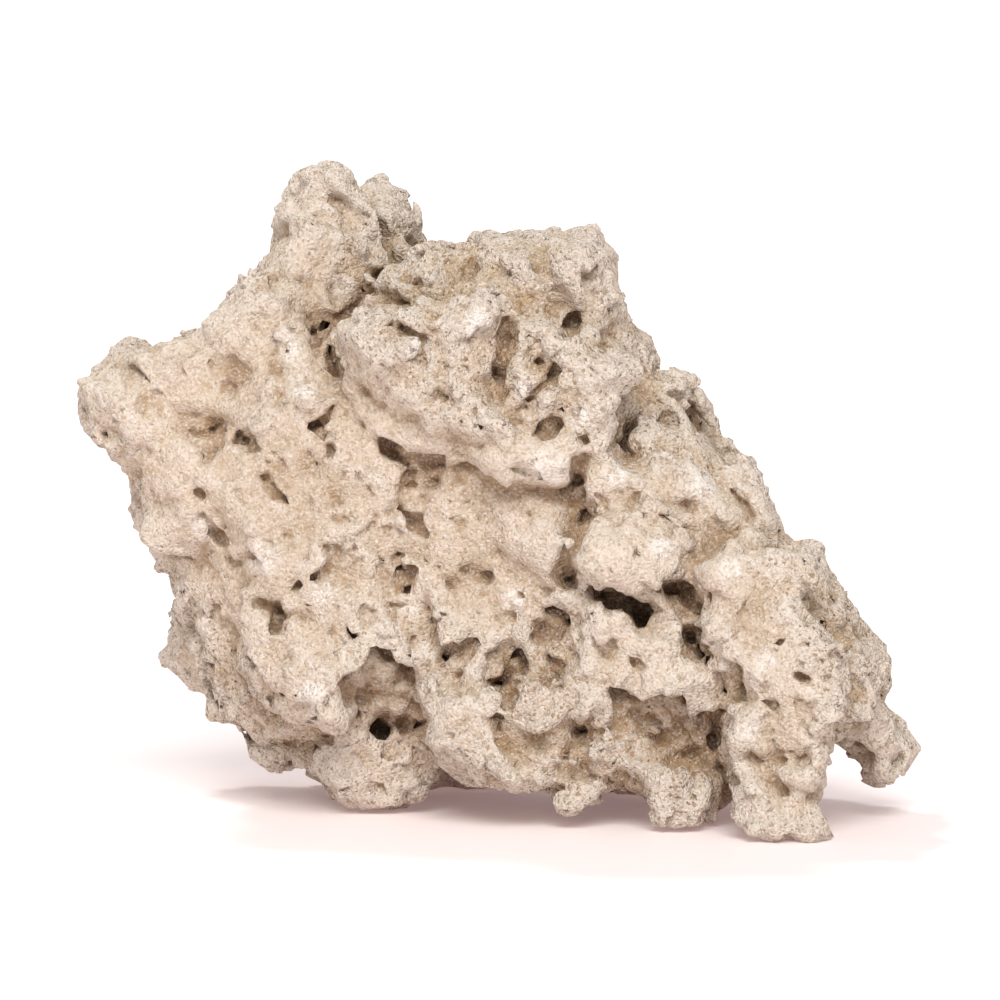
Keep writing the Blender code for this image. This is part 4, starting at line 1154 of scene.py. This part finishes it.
def stoneMaterial():
    bench = Bench("dry reef limestone")
    place = bench.node("ShaderNodeTexCoord", output=3)
    fine, hollow, wide = bench.value("fineHollow"), bench.value("hollow"), bench.value("wideHollow")
    crumbly = bench.value("crumbly")
    broad = bench.cloud(place, stone["broad"], 4.0)
    patchy = bench.cloud(place, stone["patches"], 5.0, 0.62)
    mottled = bench.cloud(place, stone["mottles"], 4.0, 0.65)
    bend = bench.node("ShaderNodeTexNoise", {}, {
        "Vector": place, "Scale": stone["grainBends"], "Detail": 1.0}, output=1)
    bent = bench.node("ShaderNodeVectorMath", {"operation": "MULTIPLY_ADD"}, {
        0: bend, 1: (stone["grainBend"],) * 3, 2: place})
    sandSpace, sandShade = bench.grainCells(bent, stone["sandGrains"])
    dustSpace, dustShade = bench.grainCells(bent, stone["dustGrains"])
    # the broad colours
    colour = bench.blend(stone["cream"], stone["sand"], broad.ramp(0.42, 0.66) * shares["sand"])
    mottledOchre = mottled.ramp(0.54, 0.72) * shares["mottledOchre"]
    warm = (patchy.ramp(0.40, 0.60) * crumbly.ramp(0.9, 1.6)).most(mottledOchre)
    colour = bench.blend(colour, stone["ochre"], warm * shares["ochre"])
    # darker sandy patches: partly the stone's own tone, partly painted shade on the lower wall
    shaded = bench.value("sandyAndShade").ramp(0.1, 0.9) * (0.4 + 0.6 * patchy.ramp(0.3, 0.6))
    colour = bench.blend(colour, stone["tan"], shaded * shares["tanPatchesAndShade"])
    # chalk on raised ridges: partly the stone's weathered white, partly a painted highlight
    ridgeChalkAndHighlight = (hollow + (mottled - 0.5) * 0.2).ramp(0.50, 0.36) * crumbly.ramp(0.3, 1.0, 0.4, 1.0)
    chalkSpot = bench.value("chalk").ramp(0.2, 0.8) * mottled.ramp(0.34, 0.54)
    chalky = (ridgeChalkAndHighlight * shares["chalkRidgesAndHighlight"] + chalkSpot * shares["chalkPatches"]).least(1.0)
    colour = bench.blend(colour, stone["chalk"], chalky)
    # the tan of the hollows, partly brown dirt and partly painted shade, and painted shade in umber deep
    # inside them
    sunkenTanAndShade = (hollow + (mottled - 0.5) * 0.22).ramp(0.50, 0.64)
    colour = bench.blend(colour, stone["tan"], sunkenTanAndShade * shares["tanHollowsAndShade"])
    # painted shade: umber where the hollows are deepest
    deep = (wide + (patchy - 0.5) * 0.08).ramp(0.56, 0.72) * fine.ramp(0.44, 0.58)
    colour = bench.blend(colour, stone["umberShade"], deep * shares["umberDeepShade"])
    # grains of sand, each with its own shade, some of them gone
    thick = bench.cloud(place, stone["patches"] * 1.7, 3.0, 0.6)
    many = crumbly.ramp(0.35, 1.2, 0.15, 1.0) * thick.ramp(0.36, 0.60, 0.4, 1.0)
    gone = (sandShade.ramp(0.17, 0.12) * 0.9).most(dustShade.ramp(0.19, 0.13)) * many
    for name, share in (("chalk", sandShade.ramp(0.58, 0.88) * shares["paleSand"]),
                        ("tan", dustShade.ramp(0.46, 0.15) * shares["tanDust"]),
                        ("chalk", dustShade.ramp(0.58, 0.88) * shares["paleDust"]),
                        ("speck", gone * shares["specks"])):
        colour = bench.blend(colour, stone[name], share)
    # sand and dust stand up as grains
    height = ((1.0 - sandSpace) * 0.8 + (1.0 - dustSpace) * 0.55 + mottled * 1.1
              + sandShade * 0.4 + dustShade * 0.4 - gone * 0.4) * (0.25 + 0.6 * crumbly)
    bump = bench.node("ShaderNodeBump", {}, {
        "Height": height, "Strength": 1.0, "Distance": stone["reliefDepth"]})
    return bench.finish(Base_Color=colour, Roughness=stone["roughness"], Normal=bump,
                        Specular_IOR_Level=stone["specular"])


# The studio: places in metres, and for each light where it comes from, how wide it is in degrees,
# its strength and its colour.
studio = {
    "floorSize": 40.0,
    "floorColour": (0.900, 0.847, 0.842, 1),
    "aim": (0.0015, -0.012, 0.119),
    "lens": 173.0,
    "floorRoughness": 0.6,
    "floorGlow": (0.180, 0.130, 0.130, 1),
    "floorDrop": 0.0002,                  # keeps the floor clear of the feet
    "skyLight": 0.45,
    "skySeen": 1.1,
    "lights": {
        "front": ((-0.08, -0.80, 0.68), 34.0, 2.8, (1.0, 0.985, 0.965)),
        "overhead": ((-0.27, 0.56, 0.86), 8.0, 1.15, (1.0, 0.995, 0.985)),
    },
}


def makeStudio():
    mesh = bpy.data.meshes.new("floor")
    plane = bmesh.new()
    bmesh.ops.create_grid(plane, x_segments=4, y_segments=4, size=studio["floorSize"] / 2)
    plane.to_mesh(mesh)
    plane.free()
    floor = bpy.data.objects.new("floor", mesh)
    floor.location.z = -studio["floorDrop"]
    bpy.context.scene.collection.objects.link(floor)
    mesh.materials.append(Bench("pale floor").finish(
        Base_Color=studio["floorColour"], Roughness=studio["floorRoughness"],
        Emission_Color=studio["floorGlow"], Emission_Strength=1.0))
    for name, (source, width, strength, colour) in studio["lights"].items():
        lamp = bpy.data.lights.new(name, "SUN")
        lamp.angle = math.radians(width)
        lamp.energy = strength
        lamp.color = colour
        holder = bpy.data.objects.new(name, lamp)
        holder.rotation_euler = (-Vector(source)).to_track_quat("-Z", "Y").to_euler()
        bpy.context.scene.collection.objects.link(holder)
    world = bpy.data.worlds.new("studio air")
    world.use_nodes = True
    nodes, links = world.node_tree.nodes, world.node_tree.links
    sky = nodes["Background"]
    sky.inputs["Color"].default_value = (1, 1, 1, 1)
    path = nodes.new("ShaderNodeLightPath")
    strength = nodes.new("ShaderNodeMapRange")
    links.new(path.outputs["Is Camera Ray"], strength.inputs["Value"])
    strength.inputs["To Min"].default_value = studio["skyLight"]
    strength.inputs["To Max"].default_value = studio["skySeen"]
    links.new(strength.outputs[0], sky.inputs["Strength"])
    bpy.context.scene.world = world
    bpy.context.scene.view_settings.view_transform = "Standard"


def makeCamera():
    camera = bpy.data.cameras.new("camera")
    camera.lens = studio["lens"]
    camera.sensor_width = 36.0
    camera.clip_end = 60.0
    holder = bpy.data.objects.new("camera", camera)
    place = (Vector(drawing["eye"]) + Vector(drawing["shift"])) * 0.001
    holder.location = place
    holder.rotation_euler = (Vector(studio["aim"]) - place).to_track_quat("-Z", "Y").to_euler()
    bpy.context.scene.collection.objects.link(holder)
    bpy.context.scene.camera = holder


makeCamera()
makeStudio()
rock = makeRock()
rock.data.materials.append(stoneMaterial())
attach(rock, "root")
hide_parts("reef_rock")
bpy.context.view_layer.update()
report("done")
